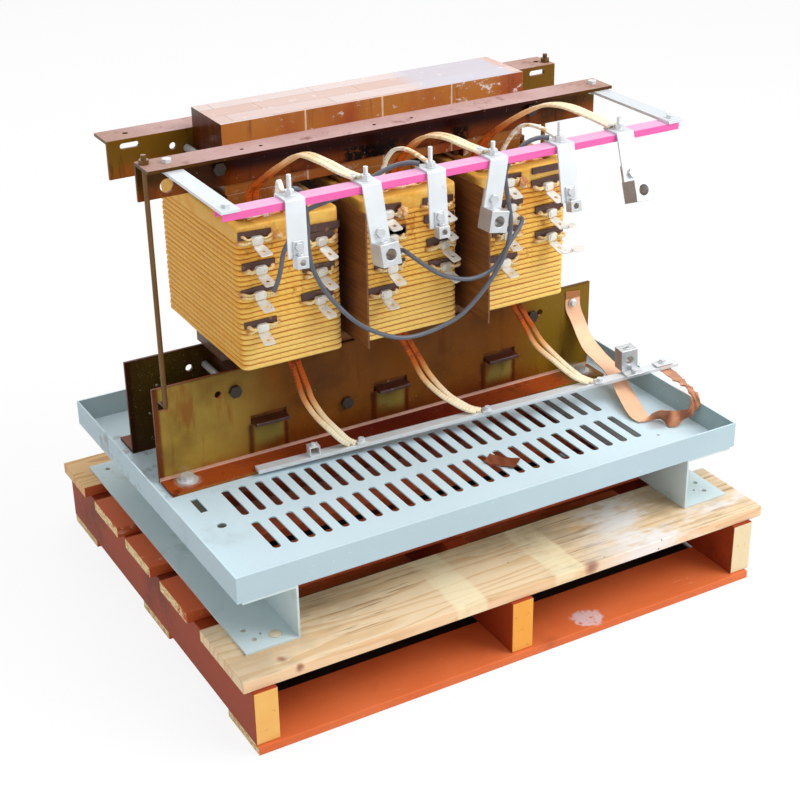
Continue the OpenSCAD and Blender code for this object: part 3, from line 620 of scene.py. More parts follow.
def copper_strip(p):
    """Bare copper strip: peach and satin, brown above its bolt and on the crumpled end; painted shade at the
    bottom of the fold.
    """
    y, z = p.axis("Y"), p.axis("Z")
    p.base = p.mix("EBB08A", "F6CBA8", p.noise(14, 4, 0.6))
    p.lay("A4652F", p.ramp(z + 0.002 * p.noise(90, 3), 0.3545, 0.3575) * 0.9)
    crumpled = p.ramp(y, -0.166, -0.172)
    p.lay(p.mix("C07C58", "8A4F38", p.spots(0.42, 0.6, 40, 4, 0.6)), crumpled * 0.85)
    crumpled = p.ramp(p.axis("X"), 0.395, 0.41) * p.ramp(z, 0.206, 0.215) * p.ramp(y, -0.05, -0.06)
    p.lay(p.mix("C88862", "99583C", p.spots(0.42, 0.6, 40, 4, 0.6)), crumpled * 0.7)
    # Painted shade at the bottom of the fold, by the tray floor.
    dark = p.ramp(z + 0.01 * p.noise(60, 3), 0.2225, 0.2165) * p.ramp(y, -0.16, -0.166)
    p.lay("4E3226", dark * 0.75)
    p.bump(p.noise(35, 4), 0.0008, 0.4)
    return p.set(Roughness=0.45, Metallic=0.15, Specular_IOR_Level=0.3)


def grain(p, tight):
    """Wood grain along X: slow bands bent by noise, with fine fibres."""
    warp = p.noise(3, 3, stretch=(0.5, 4, 4))
    ring = p.axis("Y") * tight + warp * 7
    return ring.fract(), p.noise(320, 3, stretch=(0.03, 1, 1))


def raw_wood(p):
    """Weathered softwood: strong grain, knots, faint pale stripes where boards once lay, grey smudges, nail
    holes."""
    ring, fibre = grain(p, 46)
    x = p.axis("X")
    p.base = p.mix("EBD3B0", "CDA06A", p.ramp(ring, 0.5, 0.95) * 0.5 + fibre * 0.2)
    fine = p.spots(0.54, 0.64, 150, 3, 0.6, stretch=(0.05, 1, 1)) * p.spots(0.42, 0.6, 6, 3)
    p.lay("86592F", fine * 0.7)
    grey = p.spots(0.48, 0.66, 5, 5, 0.65, stretch=(0.6, 1, 1)) * p.tops()
    p.lay("A8957A", grey * 0.6)
    face = p.ramp(p.facing("Y"), -0.5, -0.9)
    p.lay("EDBE92", face * 0.5)
    for centre in (-0.09, 0.085):
        band = p.ramp((x - centre).size() + 0.012 * p.noise(30, 3), 0.037, 0.028)
        p.lay("F2E6C0", band * p.spots(0.3, 0.55, 13, 4, 0.6) * 0.65)
    for kx, ky, size in ((-0.379, -0.368, 0.014), (0.127, -0.368, 0.02), (-0.395, -0.34, 0.014),
                         (0.262, -0.358, 0.012)):
        offset = p.away((kx, ky, 0.118))
        away = offset + 0.012 * p.noise(60, 3)
        p.lay("8C4A30", p.ramp(away, size * 1.2, size * 0.5) * 0.85)
    smear = p.spots(0.5, 0.62, 7, 5, 0.7, stretch=(0.5, 1, 1)) * p.ramp(x, 0.1, 0.24)
    p.lay("ECEAEA", smear * 0.8)
    dot = p.add("TexVoronoi", {}, {"Vector": p.place, "Scale": 34.0})["Distance"]
    p.lay("5B4636", p.ramp(dot, 0.075, 0.05) * p.spots(0.5, 0.56, 11, 1))
    p.bump(fibre + 0.6 * p.ramp(ring, 0.55, 0.95), 0.0005, 0.6)
    return p.set(Roughness=0.62, Specular_IOR_Level=0.2)


def red_wood(p):
    """Red-brown painted boards, raw and splashed at cut ends, scuffed edges; the rear board is unpainted."""
    ring, fibre = grain(p, 40)
    y, z = p.axis("Y"), p.axis("Z")
    p.base = p.mix("B04A26", "C9643A", p.noise(8, 4) * 0.8 + fibre * 0.2)
    # Painted light: the bottom boards are painted paler to make up for the shade under the deck.
    low = p.ramp(z, 0.05, 0.04)
    p.lay(p.mix("D0602E", "E07A48", p.noise(9, 4)), low)
    p.lay("84351C", p.spots(0.55, 0.75, 5, 5, 0.65) * 0.5)
    worn = p.spots(0.63, 0.7, 20, 6, 0.75, stretch=(0.4, 1.5, 1))
    p.lay("E0B49A", worn * 0.55)
    away = p.away((0.131, -0.348, 0.02))
    spill = p.ramp(away + 0.05 * p.noise(26, 4, 0.6), 0.05, 0.044) * p.spots(0.35, 0.5, 70, 3)
    p.lay("DCC8CC", spill * 0.8)
    end = p.ramp(p.facing("X").size(), 0.7, 0.9)
    rings = p.noise(90, 3, stretch=(1, 1, 2.5))
    raw = p.mix("EBD4A2", "C99C5E", p.ramp(rings, 0.45, 0.62))
    p.lay(raw, end * p.spots(0.6, 0.56, 28, 4, 0.7))
    rear = p.ramp(y, 0.27, 0.272) * p.ramp(z, 0.09, 0.1)
    plain = p.mix("E3BC88", "C58E52", p.ramp(ring, 0.5, 0.95) * 0.6 + fibre * 0.3)
    p.lay(plain, rear)
    p.bump(fibre, 0.0004, 0.6)
    return p.set(Roughness=0.55, Specular_IOR_Level=0.15)


def stringer_wood(p):
    """Stringers: deep red-brown paint on the sides, ochre, orange and pale raw wood on the front ends."""
    fibre = p.noise(320, 3, stretch=(1, 0.03, 1))
    p.base = p.mix("8A3016", "A84822", p.noise(8, 4) * 0.8 + fibre * 0.2)
    p.lay("5E2412", p.spots(0.5, 0.7, 6, 5, 0.65) * 0.7)
    front = p.ramp(p.facing("Y"), -0.7, -0.9)
    x = p.axis("X")
    ochre = p.mix("E8A84C", "F3C47A", p.noise(24, 4))
    ochre = p.mix(ochre, "EE9A34", p.ramp(x.size(), 0.2, 0.1) * 0.7)
    pale = p.mix("E0CBA0", "EBD9B4", p.noise(24, 4))
    ends = p.mix(ochre, pale, x > 0.2)
    ends = p.mix(ends, "B0682C", p.spots(0.6, 0.72, 70, 4, 0.7) * 0.6)
    p.bump(fibre, 0.0004, 0.6)
    p.lay(ends, front)
    return p.set(Roughness=0.55, Specular_IOR_Level=0.15)


FINISH_MAKERS = {f.__name__: f for f in (
    tray_coat, foot_coat, clamp_low, clamp_high, core_stack, coil_tape, inner_tape, pressboard, fibre_bar,
    pale_metal, dark_bolt, lead_tape, copper_strip, loose_tape, wire_tape, lug_metal, raw_wood, red_wood,
    stringer_wood, short_tape)}

# two colours mixed by noise, then stains laid over as (colour, low, high, noise, share), then constants
PLAIN = {
    "scrap_board": ("5B2613", "8E4A26", (50, 4, 0.6), (), {"Roughness": 0.5}),
    "strip_board": ("30140A", "5A2E1E", (60, 4, 0.6), ("A97442", 0.64, 0.72, (90, 3), 0.5),
                    {"Roughness": 0.4, "Coat_Weight": 0.25}),
    # support_bar: its pale grey spots are painted highlights on the glossy bar.
    "support_bar": ("2E120A", "582A1A", (40, 4, 0.6), ("9C8E86", 0.62, 0.7, (120, 4, 0.7), 0.6),
                    {"Roughness": 0.35, "Coat_Weight": 0.3}),
    "plug": ("E9DCC0", "CFC0A0", (150, 2), (), {"Roughness": 0.6}),
    "tinned": ("DEDCD2", "F6F4EE", (120, 3), ("A88A4A", 0.6, 0.72, (90, 4, 0.7), 0.6),
               {"Roughness": 0.34, "Metallic": 0.3}),
    "zinc": ("BCC0C2", "EEF1F2", (90, 4, 0.6), (), {"Roughness": 0.35, "Metallic": 0.4}),
    "rod_brown": ("5A3A14", "7E5A26", (40, 4, 0.6, (1, 1, 0.3)), (), {"Roughness": 0.35, "Metallic": 0.4}),
    "cable_sheath": ("4E525C", "646973", (60, 3), (), {"Roughness": 0.38, "Coat_Weight": 0.1}),
}


# Shapes


class Shape:
    """Surfaces worked out as grids of points in millimetres, gathered into one mesh with its own map."""

    def __init__(self):
        self.points, self.corners, self.map, self.count = [], [], [], 0

    def grid(self, P, U=None, V=None, round_u=False, round_v=False, ends=False):
        """P[i, j] is the point at step i of u and j of v. U and V are map values, one longer where the grid
        closes."""
        n, m = P.shape[:2]
        i, j = np.meshgrid(np.arange(n if round_u else n - 1), np.arange(m if round_v else m - 1),
                           indexing="ij")
        a, b = (i + 1) % n, (j + 1) % m
        quad = np.stack([i * m + j, a * m + j, a * m + b, i * m + b], -1).reshape(-1, 4) + self.count
        U = np.arange(n + 1) / n if U is None else np.asarray(U, float)
        V = np.arange(m + 1) / m if V is None else np.asarray(V, float)
        u = np.stack([U[i], U[i + 1], U[i + 1], U[i]], -1).reshape(-1, 4)
        v = np.stack([V[j], V[j], V[j + 1], V[j + 1]], -1).reshape(-1, 4)
        self.points.append(P.reshape(-1, 3))
        self.corners.append(quad)
        self.map.append(np.stack([u, v], -1).reshape(-1, 2))
        if ends:
            for row in (0, n - 1):
                ring = np.arange(m) + row * m + self.count
                self.corners.append(ring[None, :])
                self.map.append(np.stack([np.full(m, U[row]), V[:m]], -1))
        self.count += n * m
        return self

    def box(self, lo, hi, turn=None, at=None):
        """An upright block from lo to hi in millimetres, as a ring of four corners carried up; turn is a 3
        by 3 matrix."""
        (x0, y0, z0), (x1, y1, z1) = lo, hi
        ring = np.array([(x0, y0), (x1, y0), (x1, y1), (x0, y1)])
        P = np.stack([np.c_[ring, np.full(4, z)] for z in (z0, z1)]).astype(float)
        return self.grid(placed(P, turn, at), round_v=True, ends=True)

    def prism(self, outline, z0, z1, turn=None, at=None):
        """An outline in x and y carried from z0 to z1, closed at both ends."""
        ring = np.asarray(outline, float)
        P = np.stack([np.c_[ring, np.full(len(ring), z)] for z in (z0, z1)])
        return self.grid(placed(P, turn, at), round_v=True, ends=True)

    def lathe(self, profile, sides=24, turn=None, at=None):
        """A profile of radius and height turned round the z axis; first and last radius may be 0 or equal."""
        a = np.arange(sides) * 2 * np.pi / sides
        r, z = np.asarray(profile, float).T
        P = np.stack([r[:, None] * np.cos(a), r[:, None] * np.sin(a), np.repeat(z[:, None], sides, 1)], -1)
        return self.grid(placed(P, turn, at), round_v=True, ends=True)

    def holed(self, outline, hole, z0, z1, turn=None, at=None):
        """A plate with one hole: outline and hole are rings of as many points, joined top, side, bottom and
        bore."""
        rings = [(outline, z1), (outline, z0), (hole, z0), (hole, z1)]
        P = np.stack([np.c_[np.asarray(r, float), np.full(len(r), z)] for r, z in rings], 1)
        return self.grid(placed(P, turn, at), round_u=True, round_v=True)

    def sweep(self, path, section, across=None, U=None, V=None, scale=None):
        """A closed section (k, 2) carried along a path (n, 3); across gives the section's first axis at each
        point."""
        path = np.asarray(path, float)
        t = np.gradient(path, axis=0)
        t /= np.linalg.norm(t, axis=1)[:, None]
        if across is None:
            across = np.zeros_like(t)
            side = np.cross(t[0], (0, 0, 1) if abs(t[0, 2]) < 0.9 else (0, 1, 0))
            for k in range(len(t)):
                side = side - t[k] * side.dot(t[k])
                side /= np.linalg.norm(side)
                across[k] = side
        b = np.cross(t, across)
        b /= np.linalg.norm(b, axis=1)[:, None]
        a = np.cross(b, t)
        s = np.ones(len(path)) if scale is None else scale
        k = np.asarray(section, float)
        P = path[:, None] + s[:, None, None] * (a[:, None] * k[None, :, :1] + b[:, None] * k[None, :, 1:])
        return self.grid(P, U=U, V=V, round_v=True, ends=True)

    def make(self, name, paint, slot, *nodes, smooth=True, bevel=0.0, split=None):
        """The finished piece: at the origin, its place in its mesh, riding on root and standing for those
        nodes."""
        mesh = bpy.data.meshes.new(name)
        co = np.concatenate(self.points) * MM + CORE
        totals = np.concatenate([np.full(len(c), c.shape[1]) for c in self.corners])
        loops = np.concatenate([c.ravel() for c in self.corners])
        mesh.vertices.add(len(co))
        mesh.vertices.foreach_set("co", co.astype(np.float32).ravel())
        mesh.loops.add(len(loops))
        mesh.loops.foreach_set("vertex_index", loops.astype(np.int32))
        mesh.polygons.add(len(totals))
        mesh.polygons.foreach_set("loop_start", np.r_[0, np.cumsum(totals)[:-1]].astype(np.int32))
        mesh.update(calc_edges=True)
        layer = mesh.uv_layers.new(name="map")
        layer.data.foreach_set("uv", np.concatenate(self.map).astype(np.float32).ravel())
        mesh.polygons.foreach_set("use_smooth", np.full(len(totals), smooth))
        mesh.validate()
        return settle(name, mesh, paint, nodes, bevel, split)


def put(name, data):
    """A new object in the scene."""
    piece = bpy.data.objects.new(name, data)
    bpy.context.scene.collection.objects.link(piece)
    return piece


def settle(name, mesh, paint, nodes, bevel=0.0, split=None):
    """Puts a mesh in the scene as a finished piece, its faces turned outwards."""
    bm = bmesh.new()
    bm.from_mesh(mesh)
    bmesh.ops.remove_doubles(bm, verts=bm.verts, dist=2e-6)
    bmesh.ops.recalc_face_normals(bm, faces=bm.faces)
    bm.to_mesh(mesh)
    bm.free()
    if split:
        mesh.set_sharp_from_angle(angle=math.radians(split))
    piece = put(name, mesh)
    mesh.materials.append(finish(paint))
    if bevel:
        edge = piece.modifiers.new("edge", "BEVEL")
        edge.width, edge.segments, edge.limit_method, edge.angle_limit = bevel, 2, "ANGLE", math.radians(35)
    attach(piece, "root")
    if nodes:
        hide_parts(*nodes)
    return piece


def placed(P, turn, at):
    """Points turned by a matrix and then moved."""
    if turn is not None:
        P = P @ np.asarray(turn, float).T
    return P if at is None else P + np.asarray(at, float)


def rotation(axis, degrees):
    return np.array(Matrix.Rotation(math.radians(degrees), 3, axis))


def circle(radius, sides):
    a = np.arange(sides) * 2 * np.pi / sides
    return np.c_[radius * np.cos(a), radius * np.sin(a)]


def hexagon(across):
    return circle(across / math.sqrt(3), 6)


def route_end(route):
    """Last point of a route and the turn that lays X along its last run."""
    tip, before = np.array(route[-1], float), np.array(route[-2], float)
    return tip, rotation("Z", math.degrees(math.atan2(tip[1] - before[1], tip[0] - before[0])))


def smooth_path(points, count):
    """A smooth curve through the points, sampled at equal steps: a Catmull-Rom run of the coordinates over
    arc length."""
    P = np.asarray(points, float)
    P = np.vstack([2 * P[0] - P[1], P, 2 * P[-1] - P[-2]])
    s = np.linspace(0, len(P) - 3 - 1e-9, 24 * (len(P) - 3))
    k = s.astype(int)
    t = (s - k)[:, None]
    a, b, c, d = P[k], P[k + 1], P[k + 2], P[k + 3]
    Q = 0.5 * (2 * b + (c - a) * t + (2 * a - 5 * b + 4 * c - d) * t**2 + (3 * b - a - 3 * c + d) * t**3)
    Q = np.vstack([Q, P[-2]])
    length = np.r_[0, np.cumsum(np.linalg.norm(np.diff(Q, axis=0), axis=1))]
    even = np.linspace(0, length[-1], count)
    return np.stack([np.interp(even, length, Q[:, i]) for i in range(3)], 1)


def waves(count, size, seed, octaves=4):
    """A closed random wave: sines of whole cycles with seeded phases, falling off with frequency."""
    rng = np.random.default_rng(seed)
    a = np.arange(count) * 2 * np.pi / count
    out = np.zeros(count)
    for k in range(1, octaves + 1):
        out += np.sin(a * k * 2 + rng.uniform(0, 6.28)) * rng.uniform(0.4, 1) / k
    return out * size


def rounded_ring(width, depth, radius, per_corner, per_long, per_short):
    """Points round a rounded rectangle and their arc lengths: straight runs between quarter circles,
    millimetres."""
    out = []
    w, d = width / 2 - radius, depth / 2 - radius
    for k, (cx, cy) in enumerate(((w, -d), (w, d), (-w, d), (-w, -d))):
        a = np.radians(-90 + 90 * k + np.linspace(0, 90, per_corner))
        arc = np.c_[cx + radius * np.cos(a), cy + radius * np.sin(a)]
        out.append(arc)
        nxt = ((w, d), (-w, d), (-w, -d), (w, -d))[k]
        steps = per_long if k % 2 == 0 else per_short
        a1 = math.radians(90 * k)
        end = np.array([nxt[0] + radius * math.cos(a1), nxt[1] + radius * math.sin(a1)])
        out.append(arc[-1] + (end - arc[-1]) * np.linspace(0, 1, steps + 2)[1:-1, None])
    ring = np.vstack(out)
    closed = np.vstack([ring, ring[:1]])
    return ring, np.r_[0, np.cumsum(np.linalg.norm(np.diff(closed, axis=0), axis=1))]


def seen_ring(corners, radius, count=32):
    """A convex outline and a round hole in its middle, both at the same angles, so that they can be joined.

    Along each angle the outline lies at the least of n.v / n.d over its sides, v a corner and n the side's
    normal.
    """
    c = np.asarray(corners, float)
    a = np.unique(np.round(np.r_[np.arange(count) * 2 * np.pi / count,
                                 np.arctan2(c[:, 1], c[:, 0]) % (2 * np.pi)], 6))
    d = np.c_[np.cos(a), np.sin(a)]
    side = np.roll(c, -1, 0) - c
    n = np.c_[side[:, 1], -side[:, 0]]
    reach = (n * c).sum(1)[None, :] / np.where(d @ n.T > 1e-9, d @ n.T, np.nan)
    return d * np.nanmin(reach, 1)[:, None], d * radius


def rectangle(w, h):
    return [(-w / 2, -h / 2), (w / 2, -h / 2), (w / 2, h / 2), (-w / 2, h / 2)]


def widen_slots(mesh):
    """Moves the outline of each floor slot outwards across it: x gains 1.5 mm * (x - slot's middle) / 5
    mm."""
    co = np.empty(3 * len(mesh.vertices), np.float32)
    mesh.vertices.foreach_get("co", co)
    co = co.reshape(-1, 3)
    x, y = (co[:, 0] - TRAY[0]) / MM, (co[:, 1] - TRAY[1]) / MM
    off = x % SLOT_PITCH - SLOT_PITCH / 2
    edge = (np.abs(off) < 5.1) & (np.abs(np.abs(y + 120) - 55) < 43.2) & (np.abs(x) < SLOTS * SLOT_PITCH / 2)
    edge &= co[:, 2] > (FLOOR_TOP - 4) * MM
    co[:, 0] += np.where(edge, off * 0.3 * MM, 0)
    mesh.vertices.foreach_set("co", co.ravel())


def from_cad(node, paint, bevel=0.6, bends=(), radius=8.0):
    """A CAD node's own mesh with eased edges; bends are places (y, z) of long bent edges, eased by radius
    (mm)."""
    mesh = NODES[node].data.copy()
    mesh.name = node + "_skin"
    mesh.transform(NODES[node].matrix_world)
    mesh.materials.clear()
    if node == "base_tray":
        widen_slots(mesh)
    bm = bmesh.new()
    bm.from_mesh(mesh)
    bmesh.ops.remove_doubles(bm, verts=bm.verts, dist=2e-6)
    bmesh.ops.dissolve_limit(bm, angle_limit=math.radians(0.5), verts=bm.verts, edges=bm.edges)
    weight = bm.edges.layers.float.new("bevel_weight_edge")
    for edge in bm.edges:
        flat = len(edge.link_faces) == 2 and edge.calc_face_angle(0) < math.radians(30)
        edge[weight] = 0.0 if flat else bevel / radius
        for y, z in bends:
            if all(abs(v.co.y / MM - y) < 0.5 and abs(v.co.z / MM - z) < 0.5 for v in edge.verts):
                edge[weight] = 1.0
    bm.to_mesh(mesh)
    bm.free()
    mesh.polygons.foreach_set("use_smooth", np.full(len(mesh.polygons), True))
    mesh.set_sharp_from_angle(angle=math.radians(32))
    piece = put(node + "_skin", mesh)
    mesh.materials.append(finish(paint))
    edge = piece.modifiers.new("edge", "BEVEL")
    edge.width, edge.segments, edge.limit_method, edge.harden_normals = radius * MM, 3, "WEIGHT", True
    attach(piece, "root")
    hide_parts(node)
    return piece


# Settings


class CoilSizes(bpy.types.PropertyGroup):
    turns: IntProperty(name="Turns", description="Turns of tape-wrapped conductor in a coil", default=24,
                       min=4)
    pitch: FloatProperty(name="Turn pitch", description="Height of one turn", default=8.6 * MM,
                         subtype="DISTANCE",
                         unit="LENGTH")
    groove: FloatProperty(name="Groove", description="Depth of the groove between turns", default=2.0 * MM,
                          subtype="DISTANCE", unit="LENGTH")
    wave: FloatProperty(name="Waviness", description="How far a turn wanders up and down", default=0.75 * MM,
                        subtype="DISTANCE", unit="LENGTH")
    collar: FloatProperty(name="Collar", description="Height of the plain taped collar", default=26 * MM,
                          subtype="DISTANCE", unit="LENGTH")


class StageLook(bpy.types.PropertyGroup):
    floor: FloatVectorProperty(name="Floor colour", description="Colour of the plain floor",
                               default=(0.9, 0.9, 0.9),
                               subtype="COLOR", size=3)
    key: FloatProperty(name="Key light", description="Strength of the main soft light", default=140.0,
                       unit="POWER")


class DRESS_OT_cables(bpy.types.Operator):
    """Three grey jumper cables that hang between the straps and the taps"""

    bl_idname = "dress.cables"
    bl_label = "Jumper cables"

    def execute(self, context):
        for name, route in JUMPERS.items():
            path = smooth_path(route, 90)
            ring = circle(CABLE_SIZE / MM / 2, 16)
            piece = Shape().sweep(path, ring).make(name + "_cable", "cable_sheath", "cable_sheath", name)
        return {"FINISHED"}


class DRESS_OT_coils(bpy.types.Operator):
    """The three outer coils, with every taped turn, the plain collar and the bore"""

    bl_idname = "dress.coils"
    bl_label = "Outer coils"

    def execute(self, context):
        for k, name in enumerate(("coil_left", "coil_middle", "coil_right")):
            self.coil(context.scene.coil_sizes, k, name)
        return {"FINISHED"}

    def coil(self, sizes, k, name):
        """Point (s, t) lies on the rounded ring s, drawn in by a groove at the ends of each turn t.

        The inset is groove * |cos(pi v)|^7, v counted in turns; slow waves move each turn up, down and
        inwards, and
        on the front face the turns part round every tap by 3.2 mm * exp(-(dx / 24)^2 - |dz| / 13).
        """
        pitch, groove, collar = sizes.pitch / MM, sizes.groove / MM, sizes.collar / MM
        ring, length = rounded_ring(COIL_WIDTH, COIL_DEPTH, 12, 9, 44, 24)
        count = len(ring)
        z = np.arange(sizes.turns * 8) * pitch / 8
        v = z / pitch
        top = sizes.turns * pitch
        inset = groove * np.abs(np.cos(np.pi * v)) ** 7
        collar_z = top + collar * np.array([0, 0.03, 0.12, 0.3, 0.55, 0.8, 0.94, 0.985, 1])
        collar_in = np.array([groove, 1.4, 0.7, 0.4, 0.5, 0.6, 1.0, 1.8, 3.6])
        bore_z = np.array([top + collar - 0.4, top + collar - 6, top, top * 0.5, 4, 0.5])
        zs = np.r_[z, collar_z, bore_z]
        ins = np.r_[inset, collar_in, np.full(len(bore_z), 14.0)]
        vs = np.r_[v, np.full(len(zs) - len(v) + 1, sizes.turns + 0.5)]
        turn = np.clip(vs[: len(zs)].astype(int), 0, sizes.turns)
        wander = np.stack([waves(count, 1, 100 * k + int(q)) for q in range(sizes.turns + 1)])[turn]
        push = np.stack([waves(count, 0.4, 900 + 100 * k + int(q)) for q in range(sizes.turns + 1)])[turn]
        bore = np.arange(len(zs)) >= len(z) + len(collar_z)
        dz = wander * sizes.wave / MM * np.where(np.arange(len(zs)) < len(z), 1.0, 0.6)[:, None]
        dz[-1] = 0
        centre = (k - 1) * LEG_PITCH
        front = np.exp(-(((ring[:, 1] + 148) / 6) ** 2))[None, :]
        for tx, tz, _ in TAPS[k]:
            off = zs[:, None] + COIL_BOTTOM - tz - 8
            dz += front * 3.2 * np.tanh(off / 3) * np.exp(-(((ring[:, 0] + centre - tx) / 24) ** 2)[None, :]
                                                          - np.abs(off) / 13) * (off < 60)
        inward = ins[:, None] + np.maximum(push, 0) * (~bore)[:, None]
        half, deep = COIL_WIDTH / 2, COIL_DEPTH / 2
        X = ring[None, :, 0] * (half - inward) / half
        Y = ring[None, :, 1] * np.where(bore[:, None], 125 / deep, (deep - inward) / deep)
        Z = np.clip(zs[:, None] + dz * (~bore)[:, None], 0, top + collar) + COIL_BOTTOM
        P = np.stack([X + centre, Y, Z], -1).transpose(1, 0, 2)
        Shape().grid(P, U=length * MM, V=vs, round_u=True, round_v=True).make(
            name + "_turns", "coil_tape", "coil_tape", name)


class DRESS_OT_inner_windings(bpy.types.Operator):
    """Inner windings with crumpled tape tops, and the loose tape in the ducts round them"""

    bl_idname = "dress.inner_windings"
    bl_label = "Inner windings"

    def execute(self, context):
        for k, name in enumerate(("inner_winding_left", "inner_winding_middle", "inner_winding_right")):
            self.tube(k, name)
        return {"FINISHED"}

    def tube(self, k, name):
        """A tube between two rounded rings; its top edge rises and falls by sums of seeded sines."""
        out, length = rounded_ring(136, 222, 12, 9, 60, 36)
        mid, _ = rounded_ring(124, 186, 8, 9, 60, 36)
        inn, _ = rounded_ring(115, 150, 3, 9, 60, 36)
        n = len(out)
        rough = [waves(n, 1, 40 + 10 * k + q, 14) for q in range(5)]
        rows = [(out, 408, 0, 0), (out, 600, 0.0, 0), (out, 630, 0.5, 0), (out, 646, 0.7, 0.6),
                (out, 652, 0.9, 1.0)]
        P = []
        for ring, z, side, lift in rows:
            shrink = 1 - 0.012 * side * (1 + rough[0])
            P.append(np.c_[ring * shrink[:, None], z - lift * (1.2 + rough[1])])
        P.append(np.c_[out * 0.965, 654.5 - np.abs(rough[2])])
        P.append(np.c_[mid, 651 - 2.2 * np.abs(rough[3])])
        P.append(np.c_[inn * 1.03, 654 - np.abs(rough[4])])
        P += [np.c_[inn, np.full(n, z)] for z in (650, 600, 408)]
        P = np.stack(P, 1)
        P[..., 0] += (k - 1) * LEG_PITCH
        body = Shape().grid(P, U=length * MM, V=np.linspace(0, 1, P.shape[1] + 1), round_u=True, round_v=True)
        body.make(name + "_taped", "inner_tape", "inner_tape", name)
        flaps = Shape()
        for q, (y, z,
                half) in enumerate(((-116.5, 650, 58), (-121, 645, 60), (117, 650, 58), (121.5, 644, 60))):
            flaps.grid(self.flap(half, y, z, 7 * k + q, (k - 1) * LEG_PITCH), round_v=True, ends=True)
        flaps.make(name + "_loose_tape", "loose_tape", "lead_paper")

    def flap(self, half, y, z, seed, centre):
        """A thin upright strip of tape, 0.8 mm thick, bent in and out by up to 2 mm with a torn top edge."""
        x = np.linspace(-half, half, 70)
        bend, torn = waves(70, 1.1, 300 + seed, 6), waves(70, 2.4, 500 + seed, 9)
        rows = []
        for side in (-0.4, 0.4):
            heights = (z - 70, z - 20, z - 6, z - 2)
            for q, h in enumerate(heights if side < 0 else heights[::-1]):
                lift = (q if side < 0 else 3 - q) / 3
                rows.append(np.c_[x + centre, y + side + bend * lift, h + torn * lift**3])
        return np.stack(rows, 1)


class DRESS_OT_taps(bpy.types.Operator):
    """Pressboard strips and crimped tap terminals with the taped wires that carry them"""

    bl_idname = "dress.taps"
    bl_label = "Tap terminals"

    def execute(self, context):
        strips, metal, wires = Shape(), Shape(), Shape()
        rng = np.random.default_rng(5)
        places = [t for one in TAPS for t in one]
        for x, z in [(x, z) for x, z, _ in places] + SPARE_STRIPS:
            lean = rotation("Y", rng.uniform(-4, 4))
            strips.box((-29, -3, 0), (25, 0, 11 + rng.uniform(-1, 2)), lean, (x, TAP_FACE, z + 5))
        for x, z, turn in places:
            spin = rotation("Z", turn)
            tilt = spin @ rotation("X", (24 if turn > 10 else 17) + rng.uniform(-3, 3))
            at = np.array([x, TAP_FACE, z])
            self.terminal(metal, spin, tilt, at)
            for side in (-1, 1):
                self.wire(wires, side, at, rng)
                self.wire(wires, side, at + (0, -1.5, rng.uniform(-2, 5)), rng, 0.7)
        self.leaf(metal, np.array([264, TAP_FACE - 40, 507]), 34, 22)
        self.leaf(metal, np.array([266, TAP_FACE - 38, 549]), 16, 14)
        strips.make("tap_boards", "strip_board", "pressboard", "tap_strips", smooth=False, bevel=0.0004)
        metal.make("tap_lugs", "tinned", "zinc", "tap_terminals", bevel=0.0003, split=35)
        wires.make("tap_wires", "wire_tape", "lead_paper")
        scraps = Shape()
        for at, size in (((-18, -156, 621), 8.5), ((202, -156, 628), 8), ((-227, -154, 625), 5)):
            scraps.grid(self.crumple(size, int(size * 10)) + np.array(at), round_v=True)
        scraps.make("tape_scraps", "loose_tape", "lead_paper")
        return {"FINISHED"}

    def terminal(self, metal, spin, tilt, at):
        """A pressed sleeve on the coil's face, and the tongue with its hole leaning down from it."""
        sleeve = rounded_ring(19, 13, 4, 4, 3, 3)[0]
        metal.prism(sleeve, 1, 8.5, spin @ rotation("X", 90), at + (0, 0, 2.5))
        metal.prism(sleeve * 0.72, 8.5, 9.6, spin @ rotation("X", 90), at + (0, 0, 2.5))
        corners = [(-9.5, -10), (-7, -12), (7, -12), (9.5, -10), (9, 12), (7.5, 16), (-7.5, 16), (-9, 12)]
        outline, hole = seen_ring(corners, 3.2)
        metal.holed(outline, hole, -0.9, 0.9, tilt, at + tilt @ [0, -23, 0] + (0, -1, -3.5))

    def wire(self, wires, side, at, rng, thin=1.0):
        """A taped wire from the coil's face to the sleeve beside it, bowed outwards."""
        far, rise = rng.uniform(20, 31), rng.uniform(-3, 7)
        path = [(side * far, 2, rise), (side * (far - 3.5), -2.2, rise), (side * 16, -6, rise * 0.4),
                (side * 9, -5, 2), (side * 5, -5, 2)]
        path = smooth_path(np.array(path), 16) + at
        size = np.interp(np.linspace(0, 1, 16), [0, 0.3, 0.45, 1], [3.3, 3.3, 2.3, 2.2])
        wires.sweep(path, circle(thin, 10), scale=size)

    def crumple(self, size, seed):
        """A crumpled lump: radius size * (1 + 0.3 (sines of the two angles)), squeezed to 60 % across Y."""
        a, b = np.linspace(0.02, np.pi - 0.02, 26)[:, None], np.arange(40)[None, :] * np.pi / 20
        r = size * (1 + 0.2 * np.sin(5 * a + seed) * np.cos(4 * b) + 0.12 * np.sin(11 * b + 7 * a))
        return np.stack([r * np.sin(a) * np.cos(b), 0.6 * r * np.sin(a) * np.sin(b), r * np.cos(a)], -1)

    def leaf(self, metal, tip, reach, length):
        """A flattened lug at the end of a short wire, pointing along X."""
        a = np.linspace(0, 2 * np.pi, 33)[:-1]
        rim = np.c_[length * 0.62 * np.cos(a), length * 0.36 * np.sin(a) * (1 - 0.25 * np.cos(a))]
        metal.prism(rim, -0.9, 0.9, rotation("X", 14), tip + (reach - length * 0.4, -4, 3))
        neck = smooth_path([tip + (-4, 2, 0), tip + (reach * 0.2, -1, -1),
                            tip + (reach - length * 0.8, -4, 2.5)], 10)
        metal.sweep(neck, circle(1.9, 10))


